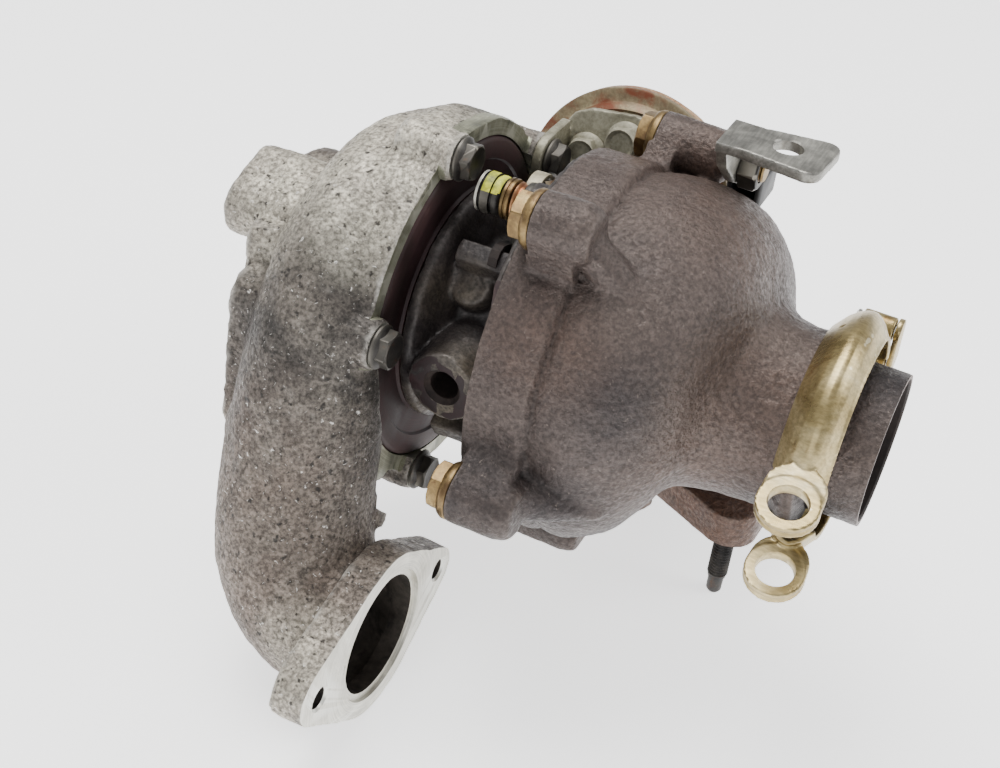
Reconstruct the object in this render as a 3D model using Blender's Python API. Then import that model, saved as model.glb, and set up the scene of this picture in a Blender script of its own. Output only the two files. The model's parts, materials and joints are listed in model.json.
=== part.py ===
"""Variable-nozzle turbocharger: compressor side at -X, turbine outlet at +X, inlet studs down (-Z).

Lengths below are millimetres about the shaft axis, with X = 0 at the backplate's turbine-side face.
The scene is in metres. After everything is built, the whole part is moved so that the centre of the
bottom of its bounding box is the origin.
"""

import math

import bmesh
import bpy
from mathutils import Matrix, Vector

MM = 0.001
GAP = 0.3

# Compressor side
BACKPLATE_R = 52.0
BACKPLATE_T = 8.0
COVER_RIM_R = 57.5
INLET_RIM_R = 33.0
INLET_BORE_R = 26.0
INLET_FACE_X = -58.0
OUTLET_X = 20.0
OUTLET_Y = -75.0
OUTLET_Z = -72.0
OUTLET_BORE_R = 19.2
OUTLET_BOLTS = [(-110.0, -65.5), (-40.5, -73.5)]
BOSS_HOLES = [(-26.3, 26.5), (-14.6, 31.0)]
COVER_BOLT_R = 56.0
COVER_BOLT_ANGLES = [33.0, 101.0, 164.0, 243.0, 308.0]

# Rotor
SHAFT_R = 5.0
BEARING_R_OUT = 7.9
COMP_WHEEL_R = 25.6
COMP_BLADES = 6
TURBINE_WHEEL_R = 24.0
TURBINE_BLADES = 9
EXDUCER_R = 19.6

# Nozzle mechanism
VANES = 9
VANE_PHASE = -1.2
VANE_PIVOT_R = 31.5
VANE_ARM = 7.0
VANE_SECTION = [(-6.2, 0.0), (-4.0, 1.3), (0.0, 1.8), (7.6, 0.25), (7.6, -0.25), (0.0, -1.1), (-4.0, -0.9)]
RING_SLOT_R = VANE_PIVOT_R + VANE_ARM
RING_REST_DEG = 4.0
MECH_RATIO = RING_SLOT_R / VANE_ARM
CRANK_Y = -7.0
CRANK_Z = 45.0
LEVER_LEN = 16.0

# Turbine side
TURBINE_BOLT_R = 67.0
TURBINE_BOLT_ANGLES = [48.0, 120.0, 192.0, 264.0, 328.0]
TURBINE_FRONT_X = 32.5
BEARING_FACE_X = 31.7
BOSS_FACES_X = [43.0, 38.4, 36.2, 32.0, 32.0]
LOBE_BOLTS = [3, 4]
LOBE_FACE_X = 29.5
SPIGOT_R = 22.8
SPIGOT_END_X = 137.0
PORT_X = 78.0
PORT_Y = 46.0
PORT_R = 15.0
PORT_FACE_Z = -70.0
INLET_STUDS = [(94.0, 25.0), (96.0, 67.0), (56.0, 58.0)]

# Clamp band
BAND_GAP_DEG = 195.0
BAND_X = 121.5

# Vacuum actuator: centre of its rim, and the direction from the lever to its dome
CAN_CENTRE = Vector((25.0, 72.5, 10.4))
LEVER_DOWN = Vector((0.0, -0.2231, -0.9748))
LEVER_PIN = Vector((20.6, CRANK_Y, CRANK_Z)) + LEVER_DOWN * LEVER_LEN
CAN_AXIS = (CAN_CENTRE - LEVER_PIN).normalized()
CAN_R = 37.0
PLATE_OUTLINE = [(-20.5, 9.0), (-21.0, 22.0), (-18.5, 26.5), (-13.0, 29.5), (2.0, 31.5), (18.0, 30.5)]
PLATE_OUTLINE += [(26.0, 26.0), (28.0, 19.0), (28.0, 13.0), (8.0, 12.0), (-8.0, 10.0)]
NUT_SPOTS = [(1.5, 22.5), (-10.9, 15.1), (17.0, 21.5)]

SLOTS = {
    "cast_aluminium": ((0.55, 0.53, 0.49), 0.62, 0.85),
    "maroon_plate": ((0.10, 0.045, 0.045), 0.55, 0.7),
    "black_iron": ((0.045, 0.042, 0.042), 0.6, 0.7),
    "rusted_iron": ((0.20, 0.135, 0.125), 0.75, 0.6),
    "dark_steel": ((0.20, 0.20, 0.21), 0.45, 0.9),
    "gold_zinc": ((0.62, 0.50, 0.27), 0.38, 0.95),
    "band_zinc": ((0.68, 0.58, 0.33), 0.35, 0.95),
    "grey_steel": ((0.42, 0.42, 0.41), 0.45, 0.9),
    "rusty_zinc": ((0.42, 0.32, 0.18), 0.6, 0.7),
    "machined_steel": ((0.58, 0.57, 0.55), 0.3, 1.0),
    "wheel_aluminium": ((0.75, 0.75, 0.76), 0.25, 1.0),
    "bronze": ((0.62, 0.42, 0.20), 0.35, 1.0),
    "cream_steel": ((0.66, 0.60, 0.47), 0.5, 0.6),
    "black_plastic": ((0.03, 0.03, 0.032), 0.5, 0.0),
}


def clear_scene():
    for obj in list(bpy.data.objects):
        bpy.data.objects.remove(obj, do_unlink=True)


def material(slot):
    found = bpy.data.materials.get(slot)
    if found:
        return found
    colour, rough, metal = SLOTS[slot]
    made = bpy.data.materials.new(slot)
    made.use_nodes = True
    shader = made.node_tree.nodes["Principled BSDF"]
    shader.inputs["Base Color"].default_value = (*colour, 1.0)
    shader.inputs["Roughness"].default_value = rough
    shader.inputs["Metallic"].default_value = metal
    return made


def make(name, verts, faces):
    """An object from millimetre vertices, its faces turned outwards."""
    mesh = bpy.data.meshes.new(name)
    mesh.from_pydata([tuple(c * MM for c in v) for v in verts], [], faces)
    bm = bmesh.new()
    bm.from_mesh(mesh)
    bmesh.ops.recalc_face_normals(bm, faces=bm.faces)
    if bm.calc_volume(signed=True) < 0:
        bmesh.ops.reverse_faces(bm, faces=bm.faces)
    bm.to_mesh(mesh)
    bm.free()
    obj = bpy.data.objects.new(name, mesh)
    bpy.context.scene.collection.objects.link(obj)
    return obj


def rings_to_mesh(name, rings, closed=False):
    """Rings of equal length joined into a tube: capped at both ends, or closed on itself."""
    count = len(rings[0])
    verts = [p for ring in rings for p in ring]
    faces = []
    last = len(rings) if closed else len(rings) - 1
    for i in range(last):
        a = i * count
        b = ((i + 1) % len(rings)) * count
        for j in range(count):
            k = (j + 1) % count
            faces.append((a + j, a + k, b + k, b + j))
    if not closed:
        faces.append(tuple(range(count)))
        faces.append(tuple(range(len(verts) - count, len(verts))))
    return make(name, verts, faces)


def polar(x, r, deg):
    a = math.radians(deg)
    return Vector((x, r * math.cos(a), r * math.sin(a)))


def lathe(name, profile, segments=32, start=0.0):
    """A closed loop of (x, r) turned about the shaft axis."""
    rings = []
    for i in range(segments):
        deg = start + 360.0 * i / segments
        rings.append([polar(x, r, deg) for x, r in profile])
    return rings_to_mesh(name, rings, closed=True)


def turned(name, profile, segments=32):
    """A solid whose (x, r) outline starts and ends near the axis, turned about it with flat ends."""
    rings = []
    for x, r in profile:
        rings.append([polar(x, r, 360.0 * j / segments) for j in range(segments)])
    return rings_to_mesh(name, rings)


def frame_for(axis):
    """Two directions across an axis."""
    axis = Vector(axis).normalized()
    side = Vector((0, 0, 1)) if abs(axis.z) < 0.9 else Vector((0, 1, 0))
    first = axis.cross(side).normalized()
    return first, axis.cross(first).normalized()


def turned_along(name, base, axis, profile, segments=20):
    """A solid of (distance along, radius) stations about any axis."""
    axis = Vector(axis).normalized()
    first, second = frame_for(axis)
    rings = []
    for along, radius in profile:
        centre = Vector(base) + axis * along
        ring = []
        for j in range(segments):
            a = 2.0 * math.pi * j / segments
            ring.append(centre + radius * (math.cos(a) * first + math.sin(a) * second))
        rings.append(ring)
    return rings_to_mesh(name, rings)


def shell_along(name, base, axis, profile, segments=28):
    """A hollow of revolution: a closed loop of (distance along, radius) about any axis."""
    axis = Vector(axis).normalized()
    first, second = frame_for(axis)
    rings = []
    for j in range(segments):
        a = 2.0 * math.pi * j / segments
        out = math.cos(a) * first + math.sin(a) * second
        rings.append([Vector(base) + axis * along + out * radius for along, radius in profile])
    return rings_to_mesh(name, rings, closed=True)


def rod(name, start, end, radius, segments=12):
    length = (Vector(end) - Vector(start)).length
    return turned_along(name, start, Vector(end) - Vector(start), [(0, radius), (length, radius)], segments)


def prism(name, outline, axis, low, high):
    """An outline in the two coordinates other than axis, extruded along axis from low to high."""
    index = "xyz".index(axis)
    rings = []
    for level in (low, high):
        ring = []
        for a, b in outline:
            point = [a, b]
            point.insert(index, level)
            ring.append(Vector(point))
        rings.append(ring)
    return rings_to_mesh(name, rings)


def hull_outline(circles, segments=20):
    """The outline wrapped round circles given as (a, b, radius)."""
    points = []
    for a, b, radius in circles:
        for j in range(segments):
            angle = 2.0 * math.pi * j / segments
            points.append((a + radius * math.cos(angle), b + radius * math.sin(angle)))
    points = sorted(set((round(a, 4), round(b, 4)) for a, b in points))

    def half(sequence):
        chain = []
        for p in sequence:
            while len(chain) > 1:
                u, v = chain[-2], chain[-1]
                turn = (v[0] - u[0]) * (p[1] - u[1]) - (v[1] - u[1]) * (p[0] - u[0])
                if turn > 1e-6:
                    break
                chain.pop()
            chain.append(p)
        return chain[:-1]

    return half(points) + half(points[::-1])


def combine(target, tools, operation):
    """Booleans applied in turn; each tool is used up."""
    for tool in tools:
        tool.hide_render = True
        tool.display_type = "WIRE"
        modifier = target.modifiers.new(operation.title(), "BOOLEAN")
        modifier.operation = operation
        modifier.solver = "EXACT"
        modifier.object = tool
        graph = bpy.context.evaluated_depsgraph_get()
        mesh = bpy.data.meshes.new_from_object(target.evaluated_get(graph))
        target.modifiers.clear()
        bm = bmesh.new()
        bm.from_mesh(mesh)
        bmesh.ops.remove_doubles(bm, verts=bm.verts, dist=3e-6)
        bmesh.ops.dissolve_degenerate(bm, edges=bm.edges, dist=3e-6)
        bm.to_mesh(mesh)
        bm.free()
        old = target.data
        target.data = mesh
        bpy.data.meshes.remove(old)
        bpy.data.objects.remove(tool, do_unlink=True)
    return target


def add(target, *tools):
    return combine(target, tools, "UNION")


def cut(target, *tools):
    return combine(target, tools, "DIFFERENCE")


def finish(obj, slot, pivot=(0.0, 0.0, 0.0), turn=0.0):
    """Names the mesh, gives it its material, turns it about X through its pivot, sets its origin there."""
    bm = bmesh.new()
    bm.from_mesh(obj.data)
    bmesh.ops.dissolve_limit(bm, angle_limit=math.radians(0.6), verts=bm.verts, edges=bm.edges)
    bmesh.ops.triangulate(bm, faces=bm.faces)
    bm.to_mesh(obj.data)
    bm.free()
    centre = Vector(pivot) * MM
    spin = Matrix.Rotation(math.radians(turn), 4, "X")
    obj.data.transform(spin @ Matrix.Translation(-centre))
    obj.location = centre
    obj.data.name = obj.name
    obj.data.materials.clear()
    obj.data.materials.append(material(slot))
    for polygon in obj.data.polygons:
        polygon.material_index = 0
    return obj


def smooth_path(points, steps):
    """Points along a Catmull-Rom curve through the given tuples."""
    out = []
    padded = [points[0]] + points + [points[-1]]
    for i in range(1, len(padded) - 2):
        p0, p1, p2, p3 = padded[i - 1 : i + 3]
        for s in range(steps):
            t = s / steps
            row = []
            for a, b, c, d in zip(p0, p1, p2, p3):
                value = 2 * b + (c - a) * t + (2 * a - 5 * b + 4 * c - d) * t * t
                value += (3 * b - a - 3 * c + d) * t ** 3
                row.append(0.5 * value)
            out.append(tuple(row))
    out.append(points[-1])
    return out


def scroll_tube(name, stations, inset, segments, squeeze=1.0):
    """A tube through (x, y, z, radius) stations, with rings across the path."""
    centres = [Vector(s[:3]) for s in stations]
    rings = []
    up = None
    for i, station in enumerate(stations):
        ahead = centres[min(i + 1, len(centres) - 1)]
        behind = centres[max(i - 1, 0)]
        tangent = (ahead - behind).normalized()
        if up is None:
            up = Vector((1, 0, 0))
        up = (up - tangent * up.dot(tangent)).normalized()
        side = tangent.cross(up).normalized()
        radius = station[3] - inset
        ring = []
        for j in range(segments):
            a = 2.0 * math.pi * j / segments
            ring.append(centres[i] + radius * (math.cos(a) * up * squeeze + math.sin(a) * side))
        rings.append(ring)
    return rings_to_mesh(name, rings)


def compressor_path():
    """The scroll from its small end at the back, over the top, to the outlet flange."""
    keys = []
    for deg, centre_r, x, radius in (
        (8.0, 41.0, -17.0, 10.0),
        (50.0, 40.5, -19.5, 13.0),
        (90.0, 40.0, -21.0, 15.5),
        (130.0, 42.0, -21.0, 18.0),
        (160.0, 46.0, -20.0, 20.0),
        (182.0, 51.0, -19.0, 21.5),
    ):
        point = polar(x, centre_r, deg)
        keys.append((point.x, point.y, point.z, radius))
    keys.append((-19.5, -58.0, -28.0, 23.0))
    keys.append((-16.0, -67.5, -53.0, 24.0))
    keys.append((-7.0, -73.5, -67.5, 24.0))
    keys.append((6.0, OUTLET_Y, OUTLET_Z, 23.5))
    keys.append((13.0, OUTLET_Y, OUTLET_Z, 23.0))
    return smooth_path(keys, 2)


def compressor_housing():
    body = scroll_tube("compressor_housing", compressor_path(), 0.0, 14)
    cover = turned(
        "cover",
        [(-0.6, COVER_RIM_R), (-15.0, COVER_RIM_R + 0.5), (-27.0, 52.0), (-36.0, 42.0), (-42.0, 34.5)]
        + [(INLET_FACE_X + 3, INLET_RIM_R - 1), (INLET_FACE_X, INLET_RIM_R - 1)],
        28,
    )
    flange = prism(
        "flange",
        hull_outline([(OUTLET_Y, OUTLET_Z, 27.0), (-110.0, -63.5, 10.0), (-41.0, -74.0, 8.5)]),
        "x",
        9.0,
        OUTLET_X,
    )
    boss = prism("boss", hull_outline([(y, z, 9.2) for y, z in BOSS_HOLES], 14), "x", -62.0, -24.0)
    pad = prism("pad", hull_outline([(-47.0, 12.0, 9.0), (-52.0, -24.0, 9.0)], 12), "x", -46.5, -24.0)
    add(body, cover, flange, boss, pad)
    for deg in COVER_BOLT_ANGLES:
        spot = polar(0.0, COVER_BOLT_R, deg)
        add(body, rod("ear", (-14.0, spot.y, spot.z), (2.6, spot.y, spot.z), 7.2, 12))
    channel = compressor_path()
    channel.append((OUTLET_X + 2.0, OUTLET_Y, OUTLET_Z, OUTLET_BORE_R + 3.8))
    cut(body, scroll_tube("channel", channel, 3.8, 10))
    chamber = turned(
        "chamber",
        [
            (8.0, BACKPLATE_R + GAP),
            (-BACKPLATE_T - GAP, BACKPLATE_R + GAP),
            (-BACKPLATE_T - GAP, 41.0),
            (-12.6, 41.0),
            (-14.3, 27.0),
            (-18.2, 23.0),
            (-23.0, 20.6),
            (-29.0, 19.8),
            (-40.0, 19.8),
            (-46.0, 22.5),
            (-50.0, INLET_BORE_R),
            (INLET_FACE_X - 2.0, INLET_BORE_R),
        ],
        28,
    )
    cut(body, chamber)
    for y, z in OUTLET_BOLTS:
        cut(body, rod("hole", (4.0, y, z), (OUTLET_X + 1.0, y, z), 3.4, 12))
    for deg in COVER_BOLT_ANGLES:
        spot = polar(0.0, COVER_BOLT_R, deg)
        cut(body, rod("tap", (-9.0, spot.y, spot.z), (10.0, spot.y, spot.z), 3.3, 10))
    for y, z in BOSS_HOLES:
        cut(body, rod("tap", (-63.0, y, z), (-48.0, y, z), 3.4, 10))
    return finish(body, "cast_aluminium")


def backplate():
    body = lathe(
        "backplate",
        [
            (0.0, 10.4),
            (0.0, BACKPLATE_R - 1.0),
            (-1.0, BACKPLATE_R),
            (-3.2, BACKPLATE_R),
            (-3.2, BACKPLATE_R - 1.6),
            (-5.6, BACKPLATE_R - 1.6),
            (-5.6, BACKPLATE_R),
            (-BACKPLATE_T, BACKPLATE_R),
            (-BACKPLATE_T, 26.5),
            (-6.0, 26.3),
            (-6.0, 10.4),
        ],
        28,
    )
    return finish(body, "maroon_plate")


def hex_bolt(name, base, axis, across, head, flange_r, flange_t, shank_r, shank):
    """A flanged hex screw: the head stands along axis from base, the shank runs the other way."""
    axis = Vector(axis).normalized()
    base = Vector(base)
    first, second = frame_for(axis)
    corner = across / math.sqrt(3.0)
    stations = [(-shank, shank_r), (0.0, shank_r), (0.0, flange_r)]
    stations += [(flange_t, flange_r)]
    body = turned_along(name, base, axis, stations, 12)
    rings = []
    for along, scale in ((flange_t - 0.4, 1.0), (head, 0.96)):
        ring = []
        for j in range(6):
            a = math.pi * j / 3.0
            out = math.cos(a) * first + math.sin(a) * second
            ring.append(base + axis * along + out * corner * scale)
        rings.append(ring)
    return add(body, rings_to_mesh("hex", rings))


def compressor_bolts():
    for i, deg in enumerate(COVER_BOLT_ANGLES):
        spot = polar(2.9, COVER_BOLT_R, deg)
        lift = 3.6 if i == 0 else 0.0
        base = spot + Vector((lift, 0, 0))
        name = "compressor_bolt_%d" % (i + 1)
        body = hex_bolt(name, base, (1, 0, 0), 10.0, 5.2, 6.6, 1.6, 2.9, 9.0 + lift)
        finish(body, "dark_steel", spot)


def bearing_housing():
    body = turned(
        "bearing_housing",
        [
            (GAP, 37.5),
            (3.6, 37.5),
            (6.0, 33.0),
            (10.0, 23.0),
            (26.4, 23.0),
            (28.4, 40.0),
            (29.9, 56.5),
            (BEARING_FACE_X, 56.5),
            (BEARING_FACE_X, 51.4),
            (33.2, 51.4),
            (33.2, 17.5),
            (37.0, 16.5),
            (37.0, 9.0),
        ],
        24,
    )
    stations = [(10.0, 13.5), (34.0, 12.0), (39.5, 11.0)]
    boss = turned_along("boss", (16.0, 0.0, -3.0), (0, -1, 0), stations, 16)
    drain = prism("drain", hull_outline([(16.0, -8.0, 9.0), (16.0, 14.0, 9.0)], 12), "z", -36.0, -12.0)
    crank_boss = rod("crank_boss", (26.0, CRANK_Y, CRANK_Z), (30.5, CRANK_Y, CRANK_Z), 7.0, 16)
    add(body, boss, drain, crank_boss)
    for i in LOBE_BOLTS:
        spot = polar(0.0, 57.5, TURBINE_BOLT_ANGLES[i])
        near = (LOBE_FACE_X, spot.y, spot.z)
        far = (BEARING_FACE_X - 0.2, spot.y, spot.z)
        add(body, rod("lobe", near, far, 6.2, 12))
    stations = [(-1.0, 10.4), (6.6, 10.4), (6.6, 8.0), (36.0, 8.0), (36.0, 6.0), (38.0, 6.0)]
    cut(body, turned("bore", stations, 24))
    cut(body, rod("port", (16.0, -6.0, -3.0), (16.0, -41.0, -3.0), 4.6, 12))
    cut(body, rod("port", (16.0, 3.0, -37.0), (16.0, 3.0, -6.0), 6.5, 12))
    cut(body, rod("crank_bore", (25.0, CRANK_Y, CRANK_Z), (33.5, CRANK_Y, CRANK_Z), 3.65, 16))
    for i in LOBE_BOLTS:
        spot = polar(0.0, TURBINE_BOLT_R, TURBINE_BOLT_ANGLES[i])
        cut(body, rod("notch", (28.0, spot.y, spot.z), (34.0, spot.y, spot.z), 4.6, 12))
    return finish(body, "black_iron")


def sheet(name, grid, thickness):
    """A thin solid about a grid of points."""
    rows = len(grid)
    columns = len(grid[0])
    front = []
    back = []
    for i in range(rows):
        for j in range(columns):
            along = grid[min(i + 1, rows - 1)][j] - grid[max(i - 1, 0)][j]
            across = grid[i][min(j + 1, columns - 1)] - grid[i][max(j - 1, 0)]
            normal = along.cross(across).normalized() * thickness / 2.0
            front.append(grid[i][j] + normal)
            back.append(grid[i][j] - normal)
    size = rows * columns
    faces = []
    for i in range(rows - 1):
        for j in range(columns - 1):
            a = i * columns + j
            faces.append((a, a + 1, a + columns + 1, a + columns))
            faces.append((size + a, size + a + columns, size + a + columns + 1, size + a + 1))
    edge = [j for j in range(columns)]
    edge += [i * columns + columns - 1 for i in range(1, rows)]
    edge += [size - 1 - j for j in range(1, columns)]
    edge += [i * columns for i in range(rows - 2, 0, -1)]
    for k, a in enumerate(edge):
        b = edge[(k + 1) % len(edge)]
        faces.append((a, size + a, size + b, b))
    return make(name, front + back, faces)


def compressor_blade(phase, start):
    grid = []
    for i in range(5):
        s = start + (1.0 - start) * i / 4.0
        hub = (-35.2 + 27.0 * s ** 0.95, 5.6 + 19.6 * s ** 2.3)
        tip = (-35.7 + 22.0 * s ** 0.8, 18.9 + 6.6 * s ** 3.0)
        row = []
        for j in range(3):
            t = j / 2.0
            x = hub[0] + (tip[0] - hub[0]) * t
            r = hub[1] + (tip[1] - hub[1]) * t
            wrap = -52.0 * s ** 0.7 * (0.75 + 0.45 * t * (1.0 - s))
            row.append(polar(x, r, phase + wrap - 10.0 * t * (1.0 - s)))
        grid.append(row)
    return sheet("blade", grid, 0.9)


def compressor_wheel():
    hub = turned(
        "compressor_wheel",
        [(-6.6, 9.0), (-6.6, COMP_WHEEL_R), (-7.8, COMP_WHEEL_R), (-9.6, 21.0)]
        + [(-13.2, 15.0), (-19.2, 10.5), (-28.2, 8.0), (-37.2, 7.0)],
        24,
    )
    for i in range(COMP_BLADES):
        add(hub, compressor_blade(60.0 * i, 0.0))
        add(hub, compressor_blade(60.0 * i + 30.0, 0.3))
    cut(hub, rod("bore", (-39.0, 0.0, 0.0), (0.0, 0.0, 0.0), 3.45, 12))
    return finish(hub, "wheel_aluminium")


def turbine_blade(phase):
    grid = []
    for i in range(5):
        s = i / 4.0
        hub = (42.6 + 19.5 * s, 22.0 - 16.5 * math.sin(math.pi / 2.0 * min(1.0, s * 1.25)))
        tip = (49.3 + 14.2 * s, 23.8 - (23.8 - EXDUCER_R) * min(1.0, s * 2.6))
        row = []
        for j in range(3):
            t = j / 2.0
            x = hub[0] + (tip[0] - hub[0]) * t
            r = hub[1] + (tip[1] - hub[1]) * t
            row.append(polar(x, r, phase + 46.0 * s * s * (0.55 + 0.45 * t)))
        grid.append(row)
    return sheet("blade", grid, 1.2)


def turbine_wheel():
    body = turned(
        "turbine_wheel_shaft",
        [
            (-45.5, 3.2),
            (-6.3, 3.2),
            (-6.3, SHAFT_R - 0.4),
            (4.0, SHAFT_R - 0.4),
            (4.0, SHAFT_R),
            (37.3, SHAFT_R),
            (39.0, 8.0),
            (40.4, 9.0),
            (40.4, 22.5),
            (42.2, TURBINE_WHEEL_R - 0.6),
            (44.0, 18.0),
            (49.0, 11.0),
            (56.0, 7.6),
            (66.0, 6.4),
            (69.0, 4.0),
        ],
        24,
    )
    for i in range(TURBINE_BLADES):
        add(body, turbine_blade(360.0 * i / TURBINE_BLADES))
    return finish(body, "machined_steel")


def rotor_small_parts():
    outline = [(-6.2, 4.75), (-6.2, 9.0), (1.2, 9.0), (1.2, 6.4), (3.7, 6.4), (3.7, 4.75)]
    collar = lathe("thrust_collar", outline, 20)
    finish(collar, "machined_steel")
    rings = []
    for x, r in ((-37.5, 6.0), (-43.2, 6.0), (-44.2, 5.2)):
        rings.append([polar(x, r, 60.0 * j) for j in range(6)])
    nut = cut(rings_to_mesh("shaft_nut", rings), rod("bore", (-46.0, 0, 0), (-36.0, 0, 0), 3.45, 12))
    finish(nut, "machined_steel")
    for name, x in (("journal_bearing_front", 9.5), ("journal_bearing_rear", 24.5)):
        inner, outer = SHAFT_R + 0.08, BEARING_R_OUT
        body = lathe(name, [(x, inner), (x, outer), (x + 8.0, outer), (x + 8.0, inner)], 24)
        finish(body, "bronze", (x + 4.0, 0, 0))
    plate = lathe("thrust_plate", [(1.6, 6.8), (1.6, 10.1), (6.2, 10.1), (6.2, 6.8)], 20)
    finish(plate, "bronze")


def heat_shield():
    outline = [(37.4, 10.6), (37.4, 18.4), (35.0, 27.2), (36.0, 27.2), (38.6, 18.9), (38.6, 10.6)]
    body = lathe("heat_shield", outline, 24)
    return finish(body, "grey_steel")


def nozzle_ring():
    body = lathe("nozzle_ring", [(38.6, 27.6), (38.6, 50.6), (41.6, 50.6), (41.6, 27.6)], 24)
    for i in range(VANES):
        spot = polar(0.0, VANE_PIVOT_R, VANE_PHASE + 360.0 * i / VANES)
        cut(body, rod("hole", (38.0, spot.y, spot.z), (42.0, spot.y, spot.z), 2.2, 8))
    return finish(body, "dark_steel")


def unison_ring():
    body = lathe("unison_ring", [(35.4, 36.6), (35.4, 41.4), (38.0, 41.4), (38.0, 36.6)], 27)
    for i in range(VANES):
        deg = VANE_PHASE + 360.0 * i / VANES
        inner = polar(0.0, 34.6, deg)
        outer = polar(0.0, RING_SLOT_R, deg)
        outline = hull_outline([(inner.y, inner.z, 3.7), (outer.y, outer.z, 2.05)], 8)
        cut(body, prism("slot", outline, "x", 35.0, 38.4))
    deg = math.degrees(math.atan2(CRANK_Z, CRANK_Y))
    inner = polar(0.0, RING_SLOT_R, deg)
    outer = polar(0.0, 43.0, deg)
    outline = hull_outline([(inner.y, inner.z, 2.05), (outer.y, outer.z, 2.05)], 8)
    cut(body, prism("slot", outline, "x", 35.0, 38.4))
    return finish(body, "dark_steel", (0, 0, 0), RING_REST_DEG)


def nozzle_vanes():
    for i in range(VANES):
        deg = VANE_PHASE + 360.0 * i / VANES
        pivot = polar(40.0, VANE_PIVOT_R, deg)
        tip = polar(0.0, RING_SLOT_R, deg)
        body = rod("nozzle_vane_%d" % (i + 1), (35.6, pivot.y, pivot.z), (42.4, pivot.y, pivot.z), 1.9, 6)
        arm = prism("arm", hull_outline([(pivot.y, pivot.z, 2.2), (tip.y, tip.z, 1.6)], 8), "x", 35.7, 37.7)
        along = polar(0.0, 1.0, deg + 62.0)
        across = polar(0.0, 1.0, deg + 152.0)
        outline = []
        for s, t in VANE_SECTION:
            point = pivot + along * s + across * t
            outline.append((point.y, point.z))
        add(body, arm, prism("blade", outline, "x", 42.1, 49.2))
        finish(body, "dark_steel", pivot, RING_REST_DEG * MECH_RATIO)


def crank():
    """The crank shaft with its inner arm, the lever outside it, and the collars and cap on its end."""
    axis = Vector((0.0, CRANK_Y, CRANK_Z))
    tip = axis * (RING_SLOT_R / axis.length)
    turn = -RING_REST_DEG * MECH_RATIO
    shaft = rod("crank_shaft", (25.5, CRANK_Y, CRANK_Z), (35.1, CRANK_Y, CRANK_Z), 3.5, 16)
    arm = prism("arm", hull_outline([(CRANK_Y, CRANK_Z, 3.5), (tip.y, tip.z, 2.2)], 12), "x", 33.5, 35.1)
    pin = rod("pin", (34.6, tip.y, tip.z), (37.8, tip.y, tip.z), 1.6, 10)
    finish(add(shaft, arm, pin), "dark_steel", axis, turn)
    end = axis + LEVER_DOWN * LEVER_LEN
    outline = hull_outline([(CRANK_Y, CRANK_Z, 6.6), (end.y, end.z, 5.0)], 16)
    lever = prism("crank_lever", outline, "x", 22.5, 25.2)
    near = end - LEVER_DOWN * 0.8
    far = end + LEVER_DOWN * 2.0
    slot = hull_outline([(near.y, near.z, 2.55), (far.y, far.z, 2.55)], 12)
    cut(lever, prism("slot", slot, "x", 22.0, 26.0))
    finish(lever, "cream_steel", axis, turn)
    base = (16.2, CRANK_Y, CRANK_Z)
    stations = [(0.0, 6.9), (0.8, 7.4), (6.0, 7.4), (6.0, 6.7), (6.7, 6.7), (6.7, 7.3), (7.7, 7.3)]
    finish(turned_along("crank_cap", base, (-1, 0, 0), stations, 16), "dark_steel", axis, turn)
    for name, x, stations, slot in (
        ("gold_collar", 19.3, [(0.0, 6.2), (2.8, 6.2)], "gold_zinc"),
        ("bronze_collar", 22.2, [(0.0, 5.0), (2.6, 5.8)], "bronze"),
    ):
        finish(turned_along(name, (x, CRANK_Y, CRANK_Z), (-1, 0, 0), stations, 16), slot, axis, turn)


def actuator_rod():
    """The rod with its eye and pin at the lever and its diaphragm plate inside the can."""
    pin = LEVER_PIN - CAN_AXIS * (LEVER_LEN * math.tan(math.radians(RING_REST_DEG * MECH_RATIO)))
    reach = (CAN_CENTRE - LEVER_PIN).length
    stations = [(8.5, 2.0), (reach + 5.0, 2.0), (reach + 5.0, 20.0), (reach + 6.5, 20.0)]
    body = turned_along("actuator_rod", pin, CAN_AXIS, stations, 16)
    far = pin + CAN_AXIS * 10.5
    eye = prism("eye", hull_outline([(pin.y, pin.z, 4.6), (far.y, far.z, 2.6)], 12), "x", 18.6, 21.4)
    stub = rod("stub", (18.2, pin.y, pin.z), (25.7, pin.y, pin.z), 2.15, 12)
    add(body, eye, stub)
    return finish(body, "machined_steel", pin)


def can_point(along, across_x, across_z):
    """A point in the actuator's own frame, in millimetres from the centre of its rim."""
    side = CAN_AXIS.cross(Vector((0, 0, 1))).normalized()
    up = side.cross(CAN_AXIS).normalized()
    return CAN_CENTRE + CAN_AXIS * along + side * across_x + up * across_z


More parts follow.
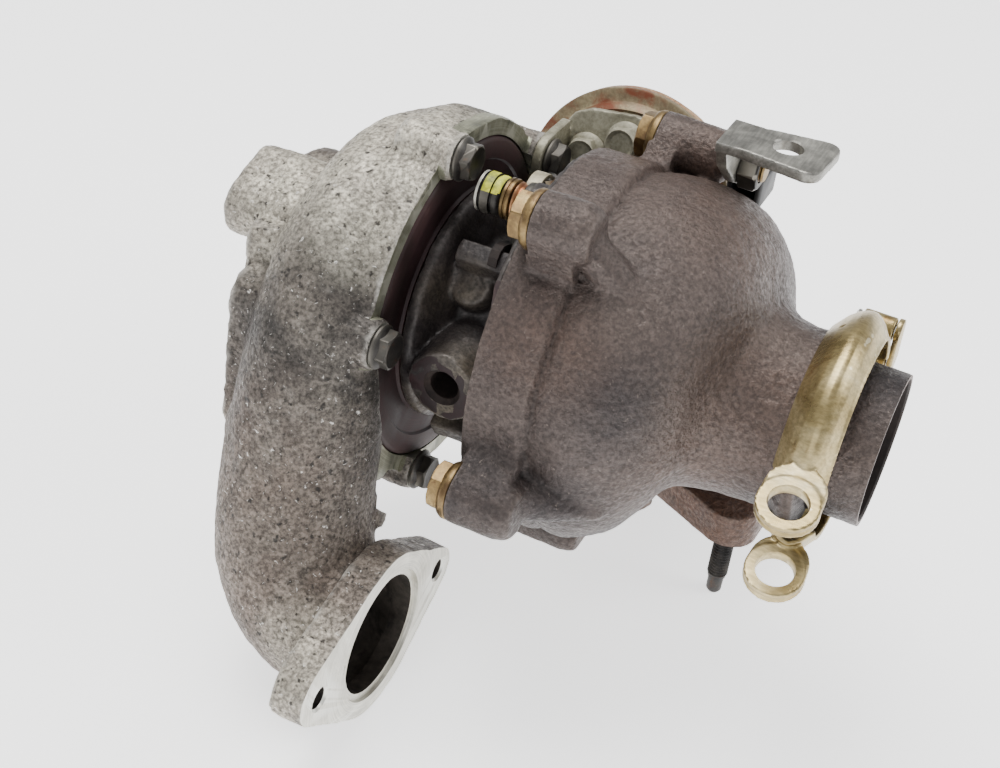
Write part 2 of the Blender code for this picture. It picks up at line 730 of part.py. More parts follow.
def actuator():
    front = shell_along(
        "can_front_shell",
        CAN_CENTRE,
        CAN_AXIS,
        [(-9.2, 4.0), (-9.2, 23.0), (-7.4, 27.0), (-3.0, 33.2), (-2.4, CAN_R), (-0.3, CAN_R)]
        + [(-0.3, 33.0), (-1.8, 31.6), (-6.4, 26.0), (-8.0, 22.4), (-8.0, 4.0)],
        22,
    )
    finish(front, "rusty_zinc", CAN_CENTRE)
    dome = turned_along(
        "can_dome",
        CAN_CENTRE,
        CAN_AXIS,
        [(0.0, CAN_R), (2.2, CAN_R), (3.0, 34.0), (14.0, 33.0)]
        + [(21.0, 29.5), (26.0, 22.0), (27.5, 12.0), (28.0, 5.0)],
        22,
    )
    inside = turned_along(
        "inside",
        CAN_CENTRE,
        CAN_AXIS,
        [(-1.0, 32.6), (13.4, 31.6), (20.2, 28.2), (24.8, 21.2), (26.2, 11.6), (26.7, 3.0)],
        20,
    )
    cut(dome, inside)
    finish(dome, "rusty_zinc", CAN_CENTRE)
    start = can_point(28.3, 0.0, 0.0)
    stations = [(0, 5.0), (3.0, 5.0), (3.0, 3.2), (12.0, 3.2), (13.0, 3.8), (16.0, 3.0)]
    nipple = turned_along("vacuum_nipple", start, CAN_AXIS, stations, 12)
    cut(nipple, turned_along("bore", start, CAN_AXIS, [(1.5, 1.6), (18.0, 1.6)], 8))
    finish(nipple, "machined_steel", start)


def actuator_bracket():
    """A pressed plate in front of the can, with a foot under one of the cover's screws."""
    spot = polar(0.0, COVER_BOLT_R, COVER_BOLT_ANGLES[0])
    plate = []
    for along in (-15.8, -12.9):
        ring = []
        for a, b in PLATE_OUTLINE:
            ring.append(can_point(along, a, b))
        plate.append(ring)
    body = rings_to_mesh("actuator_bracket", plate)
    outline = hull_outline([(spot.y, spot.z, 8.0), (spot.y + 7.0, spot.z - 3.0, 8.0)], 12)
    foot = prism("foot", outline, "x", 2.9, 6.3)
    outline = [(47.0, 24.0), (54.0, 19.5), (62.0, 20.5), (61.5, 38.0), (50.0, 38.5)]
    web = prism("web", outline, "x", 2.9, 6.2)
    add(body, foot, web)
    cut(body, rod("hole", (0.0, spot.y, spot.z), (9.0, spot.y, spot.z), 3.3, 10))
    spots = NUT_SPOTS
    for a, b in spots:
        cut(body, turned_along("hole", can_point(-18.0, a, b), CAN_AXIS, [(0.0, 3.0), (7.0, 3.0)], 12))
    finish(body, "rusty_zinc")
    for i, (a, b) in enumerate(spots):
        base = can_point(-16.1, a, b)
        nut = hex_bolt("actuator_nut_%d" % (i + 1), base, -CAN_AXIS, 10.0, 6.0, 6.8, 1.4, 2.6, 2.6)
        finish(nut, "rusty_zinc", base)


TOP = [(53, 56.4), (62, 57.2), (72, 55.6), (82, 51), (90, 42.5), (95.5, 31), (102, 27.8)]
BACK = [(53, 56.6), (62, 58.2), (73, 59), (84, 56.4), (93, 47.4), (98.5, 34), (103, 28.2)]
MIDDLE = [(53, 56.6), (61, 57), (69, 54.4), (77, 49.6), (84, 41), (90, 31.4), (99, 27.8)]
LOW = [(53, 56.5), (58, 56.4), (64, 53.4), (70, 49), (75, 41.5), (81, 31.4), (94, 27.8)]
SCROLL_KEYS = [(0.0, BACK), (100.0, TOP), (180.0, MIDDLE), (250.0, LOW), (318.0, LOW), (360.0, BACK)]
INLET_STATIONS = [(78.0, 46.0, -59.0, 19.5), (77.0, 46.0, -40.0, 19.0), (75.5, 45.0, -20.0, 18.5)]
INLET_STATIONS += [(74.0, 41.0, 4.0, 17.5)]
CHANNEL_STATIONS = [(0, 42.0, 73.5, 13.6), (45, 41.0, 72.0, 12.8), (90, 40.0, 70.5, 11.8)]
CHANNEL_STATIONS += [(135, 39.0, 68.5, 10.8), (180, 38.0, 66.0, 9.6), (225, 37.0, 63.5, 8.4)]
CHANNEL_STATIONS += [(270, 36.5, 61.5, 7.4), (315, 36.5, 60.5, 6.2)]


def scroll_profile(deg):
    for (a, first), (b, second) in zip(SCROLL_KEYS, SCROLL_KEYS[1:]):
        if a <= deg <= b:
            t = (deg - a) / (b - a)
            t = t * t * (3.0 - 2.0 * t)
            return [(p[0] + (q[0] - p[0]) * t, p[1] + (q[1] - p[1]) * t) for p, q in zip(first, second)]
    return BACK


def turbine_housing():
    front = [(TURBINE_FRONT_X, 10.0), (TURBINE_FRONT_X, 57.5), (49.0, 57.5), (50.4, 55.6)]
    back = [(112.6, 27.4), (117.3, 31.8), (120.0, 31.8), (121.4, SPIGOT_R)]
    back += [(SPIGOT_END_X, SPIGOT_R), (SPIGOT_END_X, 10.0)]
    rings = []
    for i in range(28):
        deg = 360.0 * i / 28
        rings.append([polar(x, r, deg) for x, r in front + scroll_profile(deg) + back])
    count = len(rings[0])
    body = rings_to_mesh("turbine_housing", [[ring[j] for ring in rings] for j in range(count)])
    add(body, scroll_tube("inlet", INLET_STATIONS, 0.0, 18))
    outline = hull_outline([(PORT_X, PORT_Y, 22.0)] + [(x, y, 10.0) for x, y in INLET_STUDS])
    add(body, prism("flange", outline, "z", PORT_FACE_Z, -58.0))
    for i, deg in enumerate(TURBINE_BOLT_ANGLES):
        spot = polar(0.0, TURBINE_BOLT_R, deg)
        foot = polar(0.0, 50.0, deg)
        near = BOSS_FACES_X[i]
        far = 65.5 if i == 0 else 55.0
        outline = hull_outline([(spot.y, spot.z, 8.6), (foot.y, foot.z, 10.5)], 12)
        add(body, prism("boss", outline, "x", near, 52.0))
        stations = [(0.0, 8.2), (far - 49.3, 8.0), (far - 47.3, 6.6)]
        add(body, turned_along("boss", (47.3, spot.y, spot.z), (1, 0, 0), stations, 14))
    path = [(PORT_X, PORT_Y, PORT_FACE_Z - 2.0, PORT_R), (77.5, 46.0, -45.0, 14.6), (75.5, 44.0, -20.0, 14.2)]
    for deg, centre_r, x, radius in CHANNEL_STATIONS:
        point = polar(x, centre_r, deg)
        path.append((point.x, point.y, point.z, radius))
    cut(body, scroll_tube("channel", smooth_path(path, 2), 0.0, 10))
    wheel_room = [(31.0, 52.5), (49.9, 52.5), (49.9, 46.0), (61.0, 44.0), (61.0, 32.0), (49.9, 30.0)]
    wheel_room += [(49.9, 24.9), (52.0, 22.9), (55.5, EXDUCER_R + 0.7), (66.0, EXDUCER_R + 0.7)]
    wheel_room += [(100.0, 21.0), (140.0, 21.0)]
    cut(body, turned("wheel_room", wheel_room, 28))
    for i, deg in enumerate(TURBINE_BOLT_ANGLES):
        spot = polar(0.0, TURBINE_BOLT_R, deg)
        far = 70.0 if i == 0 else 50.0
        cut(body, rod("tap", (31.0, spot.y, spot.z), (far, spot.y, spot.z), 4.4, 12))
    for x, y in INLET_STUDS:
        cut(body, rod("tap", (x, y, PORT_FACE_Z - 1.0), (x, y, -60.0), 3.9, 12))
    return finish(body, "rusted_iron")


def turbine_bolts():
    for i, deg in enumerate(TURBINE_BOLT_ANGLES):
        face = LOBE_FACE_X if i in LOBE_BOLTS else BOSS_FACES_X[i]
        spot = polar(face - GAP, TURBINE_BOLT_R, deg)
        shank = 34.0 if i == 0 else 49.0 - face
        bolt = hex_bolt("turbine_bolt_%d" % (i + 1), spot, (-1, 0, 0), 13.0, 6.6, 8.5, 2.6, 4.0, shank)
        finish(bolt, "gold_zinc", spot)


def inlet_studs():
    for i, (x, y) in enumerate(INLET_STUDS):
        stations = [(0.0, 3.0), (0.8, 3.5), (31.0, 3.5), (32.0, 2.7), (37.4, 2.6), (38.4, 2.0)]
        stud = turned_along("inlet_stud_%d" % (i + 1), (x, y, -60.6), (0, 0, -1), stations, 12)
        finish(stud, "dark_steel", (x, y, -80.0))


def support_bracket():
    """A bent strip held on the long boss, its upper leg level with one hole in it."""
    spot = polar(0.0, TURBINE_BOLT_R, TURBINE_BOLT_ANGLES[0])
    upper = hull_outline([(76.5, 24.5, 3.0), (79.5, 36.0, 3.0), (92.5, 23.5, 4.5), (93.5, 36.5, 4.5)], 12)
    body = prism("support_bracket", upper, "z", 62.6, 66.2)
    add(body, prism("bend", [(65.9, 21.6), (75.0, 21.6), (75.0, 38.9), (65.9, 38.9)], "z", 62.8, 65.9))
    outline = [(21.5, 66.0), (39.0, 66.0), (52.0, 57.0), (55.0, 45.0)]
    outline += [(49.0, 40.5), (40.0, 45.2), (27.0, 56.0)]
    add(body, prism("leg", outline, "x", 65.8, 69.2))
    cut(body, rod("hole", (84.5, 31.0, 60.0), (84.5, 31.0, 68.0), 4.5, 16))
    cut(body, rod("hole", (64.0, spot.y, spot.z), (71.0, spot.y, spot.z), 4.45, 12))
    finish(body, "grey_steel")
    rings = []
    for x, r in ((69.5, 7.3), (75.5, 7.3)):
        rings.append([Vector((x, spot.y, spot.z)) + polar(0.0, r, 60.0 * j) for j in range(6)])
    bore = rod("bore", (69.0, spot.y, spot.z), (77.0, spot.y, spot.z), 4.45, 12)
    nut = cut(rings_to_mesh("bracket_nut", rings), bore)
    finish(nut, "dark_steel", spot)


def band_half(name, start, end, ear_side):
    """Half of the folded clamp band, from start to end degrees, with its ear at the gap."""
    outer = [(112.2, 29.2), (115.4, 33.2), (119.4, 35.9), (122.4, 36.2), (125.2, 33.8), (127.6, 30.2)]
    inner = [(126.2, 29.4), (124.0, 32.8), (122.0, 34.5), (119.8, 34.3), (116.4, 32.4), (113.6, 29.2)]
    rings = []
    steps = 10
    for i in range(steps + 1):
        deg = start + (end - start) * i / steps
        rings.append([polar(x, r, deg) for x, r in outer + inner])
    body = rings_to_mesh(name, rings)
    middle = polar(BAND_X, 0.0, 0.0) + polar(0.0, 42.5, BAND_GAP_DEG)
    tangent = polar(0.0, 1.0, BAND_GAP_DEG + 90.0)
    centre = middle + tangent * (14.0 if ear_side > 0 else -18.0)
    outward = polar(0.0, 1.0, BAND_GAP_DEG)
    side = Vector((1, 0, 0))
    rings = []
    for level in (-1.6, 1.6):
        ring = []
        for j in range(16):
            a = 2.0 * math.pi * j / 16.0
            stretch = (3.4 if ear_side > 0 else 5.3) if math.cos(a) < 0 else 0.0
            across = outward * (8.6 * math.cos(a) - stretch) + side * 8.6 * math.sin(a)
            ring.append(centre + tangent * level + across)
        rings.append(ring)
    add(body, rings_to_mesh("ear", rings))
    eye = rod("eye", centre - tangent * 4.0, centre + tangent * 4.0, 5.4, 16)
    return cut(body, eye)


def clamp_band():
    hinge_deg = BAND_GAP_DEG + 180.0
    hinge = polar(BAND_X, 39.6, hinge_deg)
    upper = band_half("band_upper", hinge_deg - 360.0 + 6.0, BAND_GAP_DEG - 22.0, -1.0)
    lower = band_half("band_lower", hinge_deg - 6.0, BAND_GAP_DEG + 17.0, 1.0)
    pin_up = polar(BAND_X, 39.6, hinge_deg + 9.0)
    pin_low = polar(BAND_X, 39.6, hinge_deg - 9.0)
    for body, spot in ((upper, pin_up), (lower, pin_low)):
        add(body, rod("knuckle", spot - Vector((5.0, 0, 0)), spot + Vector((5.0, 0, 0)), 3.8, 14))
        cut(body, rod("bore", spot - Vector((6.0, 0, 0)), spot + Vector((6.0, 0, 0)), 2.0, 12))
        finish(body, "band_zinc", spot)
    outline = hull_outline([(pin_up.y, pin_up.z, 4.0), (pin_low.y, pin_low.z, 4.0)], 14)
    link = prism("band_link", outline, "x", BAND_X + 5.4, BAND_X + 7.2)
    finish(link, "band_zinc", hinge)
    for name, spot in (("band_pin_upper", pin_up), ("band_pin_lower", pin_low)):
        stations = [(0.0, 3.0), (1.4, 3.0), (1.4, 1.8), (12.2, 1.8)]
        pin = turned_along(name, spot - Vector((7.2, 0, 0)), (1, 0, 0), stations, 12)
        finish(pin, "machined_steel", spot)


def sensor_plug():
    """The position sensor's plug beside the can."""
    base = can_point(-6.0, 41.0, 20.0)
    outline = []
    socket = []
    for y, z in ((-8, -6), (10, -6), (10, 6), (-8, 6)):
        outline.append((base.y + y, base.z + z))
    for y, z in ((-9, -4), (4, -4), (4, 4), (-9, 4)):
        socket.append((base.y + y, base.z + z))
    body = prism("sensor_plug", outline, "x", base.x - 5.0, base.x + 7.0)
    cut(body, prism("socket", socket, "x", base.x - 3.0, base.x + 5.0))
    finish(body, "black_plastic")


def rest_on_base():
    """Moves everything so that the middle of the bounding box's bottom is the origin."""
    bpy.context.view_layer.update()
    low = Vector((1e9, 1e9, 1e9))
    high = -low
    for obj in bpy.context.scene.objects:
        for vertex in obj.data.vertices:
            point = obj.matrix_world @ vertex.co
            for k in range(3):
                low[k] = min(low[k], point[k])
                high[k] = max(high[k], point[k])
    base = Vector(((low.x + high.x) / 2.0, (low.y + high.y) / 2.0, low.z))
    for obj in bpy.context.scene.objects:
        obj.location -= base


def build():
    clear_scene()
    compressor_housing()
    backplate()
    compressor_bolts()
    bearing_housing()
    compressor_wheel()
    turbine_wheel()
    rotor_small_parts()
    heat_shield()
    nozzle_ring()
    unison_ring()
    nozzle_vanes()
    crank()
    actuator_rod()
    actuator()
    actuator_bracket()
    turbine_housing()
    turbine_bolts()
    inlet_studs()
    support_bracket()
    clamp_band()
    sensor_plug()
    rest_on_base()


build()
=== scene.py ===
"""Looks of the variable-nozzle turbocharger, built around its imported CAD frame.

Lengths in the builders are millimetres about the shaft axis, with X = 0 at the backplate's face on the
turbine side. row() takes them to the frame's metres.
"""

import json
import math

import bmesh
import bpy
import numpy as np
from mathutils import Matrix, Vector, noise


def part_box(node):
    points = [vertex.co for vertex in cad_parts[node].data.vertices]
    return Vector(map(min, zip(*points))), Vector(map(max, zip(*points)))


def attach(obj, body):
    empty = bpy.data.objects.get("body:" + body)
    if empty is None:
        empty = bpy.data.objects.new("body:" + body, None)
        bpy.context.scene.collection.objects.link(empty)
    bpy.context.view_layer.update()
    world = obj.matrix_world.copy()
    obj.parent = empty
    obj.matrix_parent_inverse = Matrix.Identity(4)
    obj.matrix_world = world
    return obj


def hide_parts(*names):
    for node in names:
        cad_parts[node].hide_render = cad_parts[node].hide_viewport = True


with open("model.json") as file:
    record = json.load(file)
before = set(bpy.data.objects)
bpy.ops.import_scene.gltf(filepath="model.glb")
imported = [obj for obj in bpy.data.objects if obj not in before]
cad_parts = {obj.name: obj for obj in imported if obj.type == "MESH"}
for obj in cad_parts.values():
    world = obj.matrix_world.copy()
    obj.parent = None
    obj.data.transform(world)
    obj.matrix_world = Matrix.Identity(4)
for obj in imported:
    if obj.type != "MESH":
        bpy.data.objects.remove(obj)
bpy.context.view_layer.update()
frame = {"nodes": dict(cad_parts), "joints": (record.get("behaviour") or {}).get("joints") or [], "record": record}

MM = 0.001
CENTRE = (0, 0, 0)
AXIS = (1, 0, 0)
JOINTS = {joint["name"]: joint for joint in frame["joints"]}
SHAFT = JOINTS["rotor_spin"]["pos_m"]
ORIGIN = Vector((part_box("backplate")[1].x, SHAFT[1], SHAFT[2]))
CRANK = (Vector(JOINTS["crank_turn"]["pos_m"]) - ORIGIN) / MM
PIN_UP = (Vector(JOINTS["upper_band_open"]["pos_m"]) - ORIGIN) / MM
PIN_LOW = (Vector(JOINTS["lower_band_open"]["pos_m"]) - ORIGIN) / MM

# Compressor side
BACKPLATE_R = 52
BACKPLATE_T = 8
COVER_RIM_R = 57.5
INLET_FACE_X = -58
INLET_RIM_R = 32
INLET_BORE_R = 26
OUTLET_X = 20
OUTLET_Y = -75
OUTLET_Z = -72
OUTLET_BORE_R = 19.2
OUTLET_BOLTS = [(-110, -65.5), (-40.5, -73.5)]
COVER_BOLT_R = 56
COVER_BOLT_ANGLES = [33, 101, 164, 243, 308]
BOSS_HOLES = [(-26.3, 26.5), (-14.6, 31)]
SCALLOPS = [(200, 56.5), (222, 57)]
# Angle, centre radius, X and radius of the scroll
SCROLL_ARC = [(8, 41, -17, 10), (50, 40.5, -19.5, 13), (90, 40, -21, 15.5)]
SCROLL_ARC += [(130, 42, -21, 18), (160, 46, -20, 20), (182, 51, -19, 21.5)]

# Rotor
COMP_WHEEL_R = 25.6
TURBINE_WHEEL_R = 24
EXDUCER_R = 19.6

# Turbine side
TURBINE_BOLT_R = 67
TURBINE_BOLT_ANGLES = [48, 120, 192, 264, 328]
TURBINE_FRONT_X = 32.5
BEARING_FACE_X = 31.7
BOSS_FACES_X = [43, 38.4, 36.2, 32, 32]
LOBE_BOLTS = [3, 4]
LOBE_FACE_X = 29.5
SPIGOT_R = 22.8
SPIGOT_END_X = 137
PORT_X = 78
PORT_Y = 46
PORT_FACE_Z = -70
INLET_STUDS = [(94, 25), (96, 67), (56, 58)]
# Angle, centre radius, X and radius of the gas channel
VOLUTE_ARC = [(0, 42, 73.5, 13.6), (45, 41, 72, 12.8), (90, 40, 70.5, 11.8), (135, 39, 68.5, 10.8)]
VOLUTE_ARC += [(180, 38, 66, 9.6), (225, 37, 63.5, 8.4), (270, 36.5, 61.5, 7.4), (315, 36.5, 60.5, 6.2)]

# Clamp band
BAND_GAP_DEG = 195
BAND_X = 121.5

# Linkage and actuator
LEVER_LEN = 16
LEVER_DOWN = Vector((0, -0.2231, -0.9748))
CAN_AXIS = Vector(JOINTS["push_rod_slide"]["axis"]).normalized()
CAN_CENTRE = Vector((25, 72.5, 10.4))
CAN_R = 37
PLATE_OUTLINE = [(-20.5, 9), (-21, 22), (-18.5, 26.5), (-13, 29.5), (2, 31.5), (18, 30.5)]
PLATE_OUTLINE += [(26, 26), (28, 19), (28, 13), (8, 12), (-8, 10)]
NUT_SPOTS = [(1.5, 22.5), (-10.9, 15.1), (17, 21.5)]

# Looks and studio, in metres
METAL_RELIEF = 0.00006
RING_DRAG = 0.0006
FLOOR_Z = -0.0004


def row(point):
    return ORIGIN + Vector(point) * MM


def polar(x, r, deg):
    a = math.radians(deg)
    return Vector((x, r * math.cos(a), r * math.sin(a)))


# ---------------------------------------------------------------- materials


def srgb(r, g, b):
    out = []
    for c in (r, g, b):
        c /= 255
        out.append(c / 12.92 if c <= 0.04045 else ((c + 0.055) / 1.055) ** 2.4)
    return tuple(out)


class Surface:
    """A material being built. Each helper adds a node and returns its output."""

    def __init__(self, name, metallic, rough):
        self.made = bpy.data.materials.new(name)
        self.made.use_nodes = True
        self.tree = self.made.node_tree
        self.shader = self.tree.nodes["Principled BSDF"]
        self.put(self.shader.inputs["Metallic"], metallic)
        self.put(self.shader.inputs["Roughness"], rough)
        self.place = self.add("TexCoord", {}).outputs["Object"]
        self.normal = None

    def put(self, socket, value):
        if isinstance(value, bpy.types.NodeSocket):
            self.tree.links.new(value, socket)
        elif isinstance(value, tuple) and len(value) == 3 and socket.type == "RGBA":
            socket.default_value = (*value, 1)
        else:
            socket.default_value = value

    def add(self, kind, inputs, **settings):
        """A node of a kind, with its settings and with inputs given by name or number."""
        node = self.tree.nodes.new("ShaderNode" + kind)
        for key, value in settings.items():
            setattr(node, key, value)
        for key, value in inputs.items():
            self.put(node.inputs[key], value)
        return node

    def noise(self, scale, detail=4, rough=0.55, distortion=0, vector=None):
        inputs = {"Vector": vector or self.place, "Scale": scale, "Detail": detail}
        inputs.update({"Roughness": rough, "Distortion": distortion})
        return self.add("TexNoise", inputs).outputs["Fac"]

    def cells(self, scale):
        return self.add("TexVoronoi", {"Vector": self.place, "Scale": scale}).outputs["Distance"]

    def span(self, value, low, high, start=0, end=1):
        inputs = dict(enumerate((value, low, high, start, end)))
        return self.add("MapRange", inputs, interpolation_type="SMOOTHSTEP").outputs["Result"]

    def calc(self, operation, a, b=0):
        return self.add("Math", {0: a, 1: b}, operation=operation).outputs[0]

    def ramp(self, value, stops):
        node = self.add("ValToRGB", {0: value})
        ramp = node.color_ramp
        while len(ramp.elements) < len(stops):
            ramp.elements.new(0.5)
        for element, (spot, colour) in zip(ramp.elements, stops):
            element.position = spot
            element.color = (*srgb(*colour), 1)
        return node.outputs["Color"]

    def mix(self, share, a, b):
        return self.add("Mix", {0: share, 6: a, 7: b}, data_type="RGBA").outputs[2]

    def scaled(self, colour, value):
        return self.add("VectorMath", {0: colour, "Scale": value}, operation="SCALE").outputs[0]

    def stretched(self, factors):
        return self.add("Mapping", {"Vector": self.place, "Scale": factors}).outputs["Vector"]

    def rings(self, centre):
        """A vector that runs fast across turning marks about X and slowly along them."""
        shift = self.add("VectorMath", {0: self.place, 1: centre}, operation="SUBTRACT")
        x, y, z = self.add("SeparateXYZ", {0: shift.outputs[0]}).outputs
        radius = self.calc("SQRT", self.calc("ADD", self.calc("MULTIPLY", y, y), self.calc("MULTIPLY", z, z)))
        angle = self.calc("MULTIPLY", self.calc("ARCTAN2", z, y), RING_DRAG)
        return self.add("CombineXYZ", {0: radius, 1: angle, 2: x}).outputs[0]

    def edges(self):
        return self.add("NewGeometry", {}).outputs["Pointiness"]

    def painted(self, name):
        return self.add("Attribute", {}, attribute_name=name).outputs["Fac"]

    def bump(self, height, strength, distance):
        inputs = {"Height": height, "Strength": strength, "Distance": distance}
        if self.normal is not None:
            inputs["Normal"] = self.normal
        self.normal = self.add("Bump", inputs).outputs["Normal"]

    def done(self, colour, rough):
        self.put(self.shader.inputs["Base Color"], colour)
        self.put(self.shader.inputs["Roughness"], rough)
        if self.normal is not None:
            self.put(self.shader.inputs["Normal"], self.normal)
        return self.made


def casting(name, stops, metallic, rough, patch, grain, relief, edge, pits, stains_and_sheen=(),
            contrast=(0.62, 1.42, 0.8, 1.2)):
    """Sand-cast metal: soft patches of colour, a granular skin, rubbed edges, stained and darker regions, regions
    of painted highlight, and painted shade in the hollows.
    """
    s = Surface(name, metallic, rough[1])
    skin = s.noise(grain, 5, 0.62)
    lumps = s.noise(grain * 0.28, 4, 0.6)
    colour = s.ramp(s.noise(patch, 5, 0.6, 0.5), stops)
    # Each region mixes its colour in through a point attribute: real stains, plain darker patches, and painted
    # highlight where a region stands for a sheen.
    for attribute, stain_and_sheen, amount in stains_and_sheen:
        cloud = s.span(s.noise(patch * 2.2, 7, 0.7), 0.3, 0.62, 0.35, 1)
        share = s.calc("MULTIPLY", s.painted(attribute), cloud)
        colour = s.mix(s.calc("MULTIPLY", share, amount), colour, srgb(*stain_and_sheen))
    colour = s.scaled(colour, s.span(skin, 0.3, 0.72, contrast[0], contrast[1]))
    colour = s.scaled(colour, s.span(lumps, 0.32, 0.68, contrast[2], contrast[3]))
    dark, light, amount = pits
    spots = s.span(s.noise(grain * 0.55, 2, 0.5), 0.60, 0.72)
    colour = s.mix(s.calc("MULTIPLY", spots, amount), colour, srgb(*dark))
    flecks = s.span(s.noise(grain * 0.8, 3, 0.6, 0.8), 0.64, 0.74)
    colour = s.mix(s.calc("MULTIPLY", flecks, amount), colour, srgb(*light))
    bare, share = edge
    worn = s.calc("MULTIPLY", s.span(s.edges(), 0.505, 0.56), s.span(s.noise(patch * 4, 6, 0.7), 0.35, 0.6))
    colour = s.mix(s.calc("MULTIPLY", worn, share), colour, srgb(*bare))
    # Painted shade: darkens the colour to 0.55 in hollows and creases, where pointiness is low.
    colour = s.scaled(colour, s.span(s.edges(), 0.44, 0.495, 0.55, 1))
    s.bump(lumps, 0.5, relief * 2.2)
    s.bump(skin, 0.85, relief)
    s.bump(s.cells(grain * 0.62), 0.35, relief)
    return s.done(colour, s.span(skin, 0.3, 0.7, rough[1], rough[0]))


def metal(name, stops, metallic, rough, patch=60, scratch=(1, 1, 1), fine=900, edge=None,
          spots=None, turned=None):
    """Sheet, bar or machined metal: mottled plating, fine scratches or turning marks, worn edges, spots."""
    s = Surface(name, metallic, rough[0])
    where = s.rings(turned) if turned else s.stretched(scratch)
    lines = s.noise(fine, 4, 0.6, vector=where)
    mottle = s.noise(patch, 7, 0.66, 0.5)
    colour = s.ramp(mottle, stops)
    colour = s.scaled(colour, s.span(lines, 0.3, 0.7, 0.8, 1.2))
    if spots:
        stain_and_sheen, low, high, scale = spots
        share = s.span(s.noise(scale, 6, 0.7, 0.4), low, high)
        colour = s.mix(share, colour, srgb(*stain_and_sheen))
    if edge:
        bare, share = edge
        worn = s.span(s.edges(), 0.52, 0.64)
        colour = s.mix(s.calc("MULTIPLY", worn, share), colour, srgb(*bare))
    s.bump(mottle, 0.2, METAL_RELIEF * 3)
    s.bump(lines, 0.5, METAL_RELIEF)
    return s.done(colour, s.span(mottle, 0.3, 0.7, rough[0], rough[1]))


SHAFT_POINT = tuple(ORIGIN)
OUTLET_POINT = tuple(row((OUTLET_X, OUTLET_Y, OUTLET_Z)))

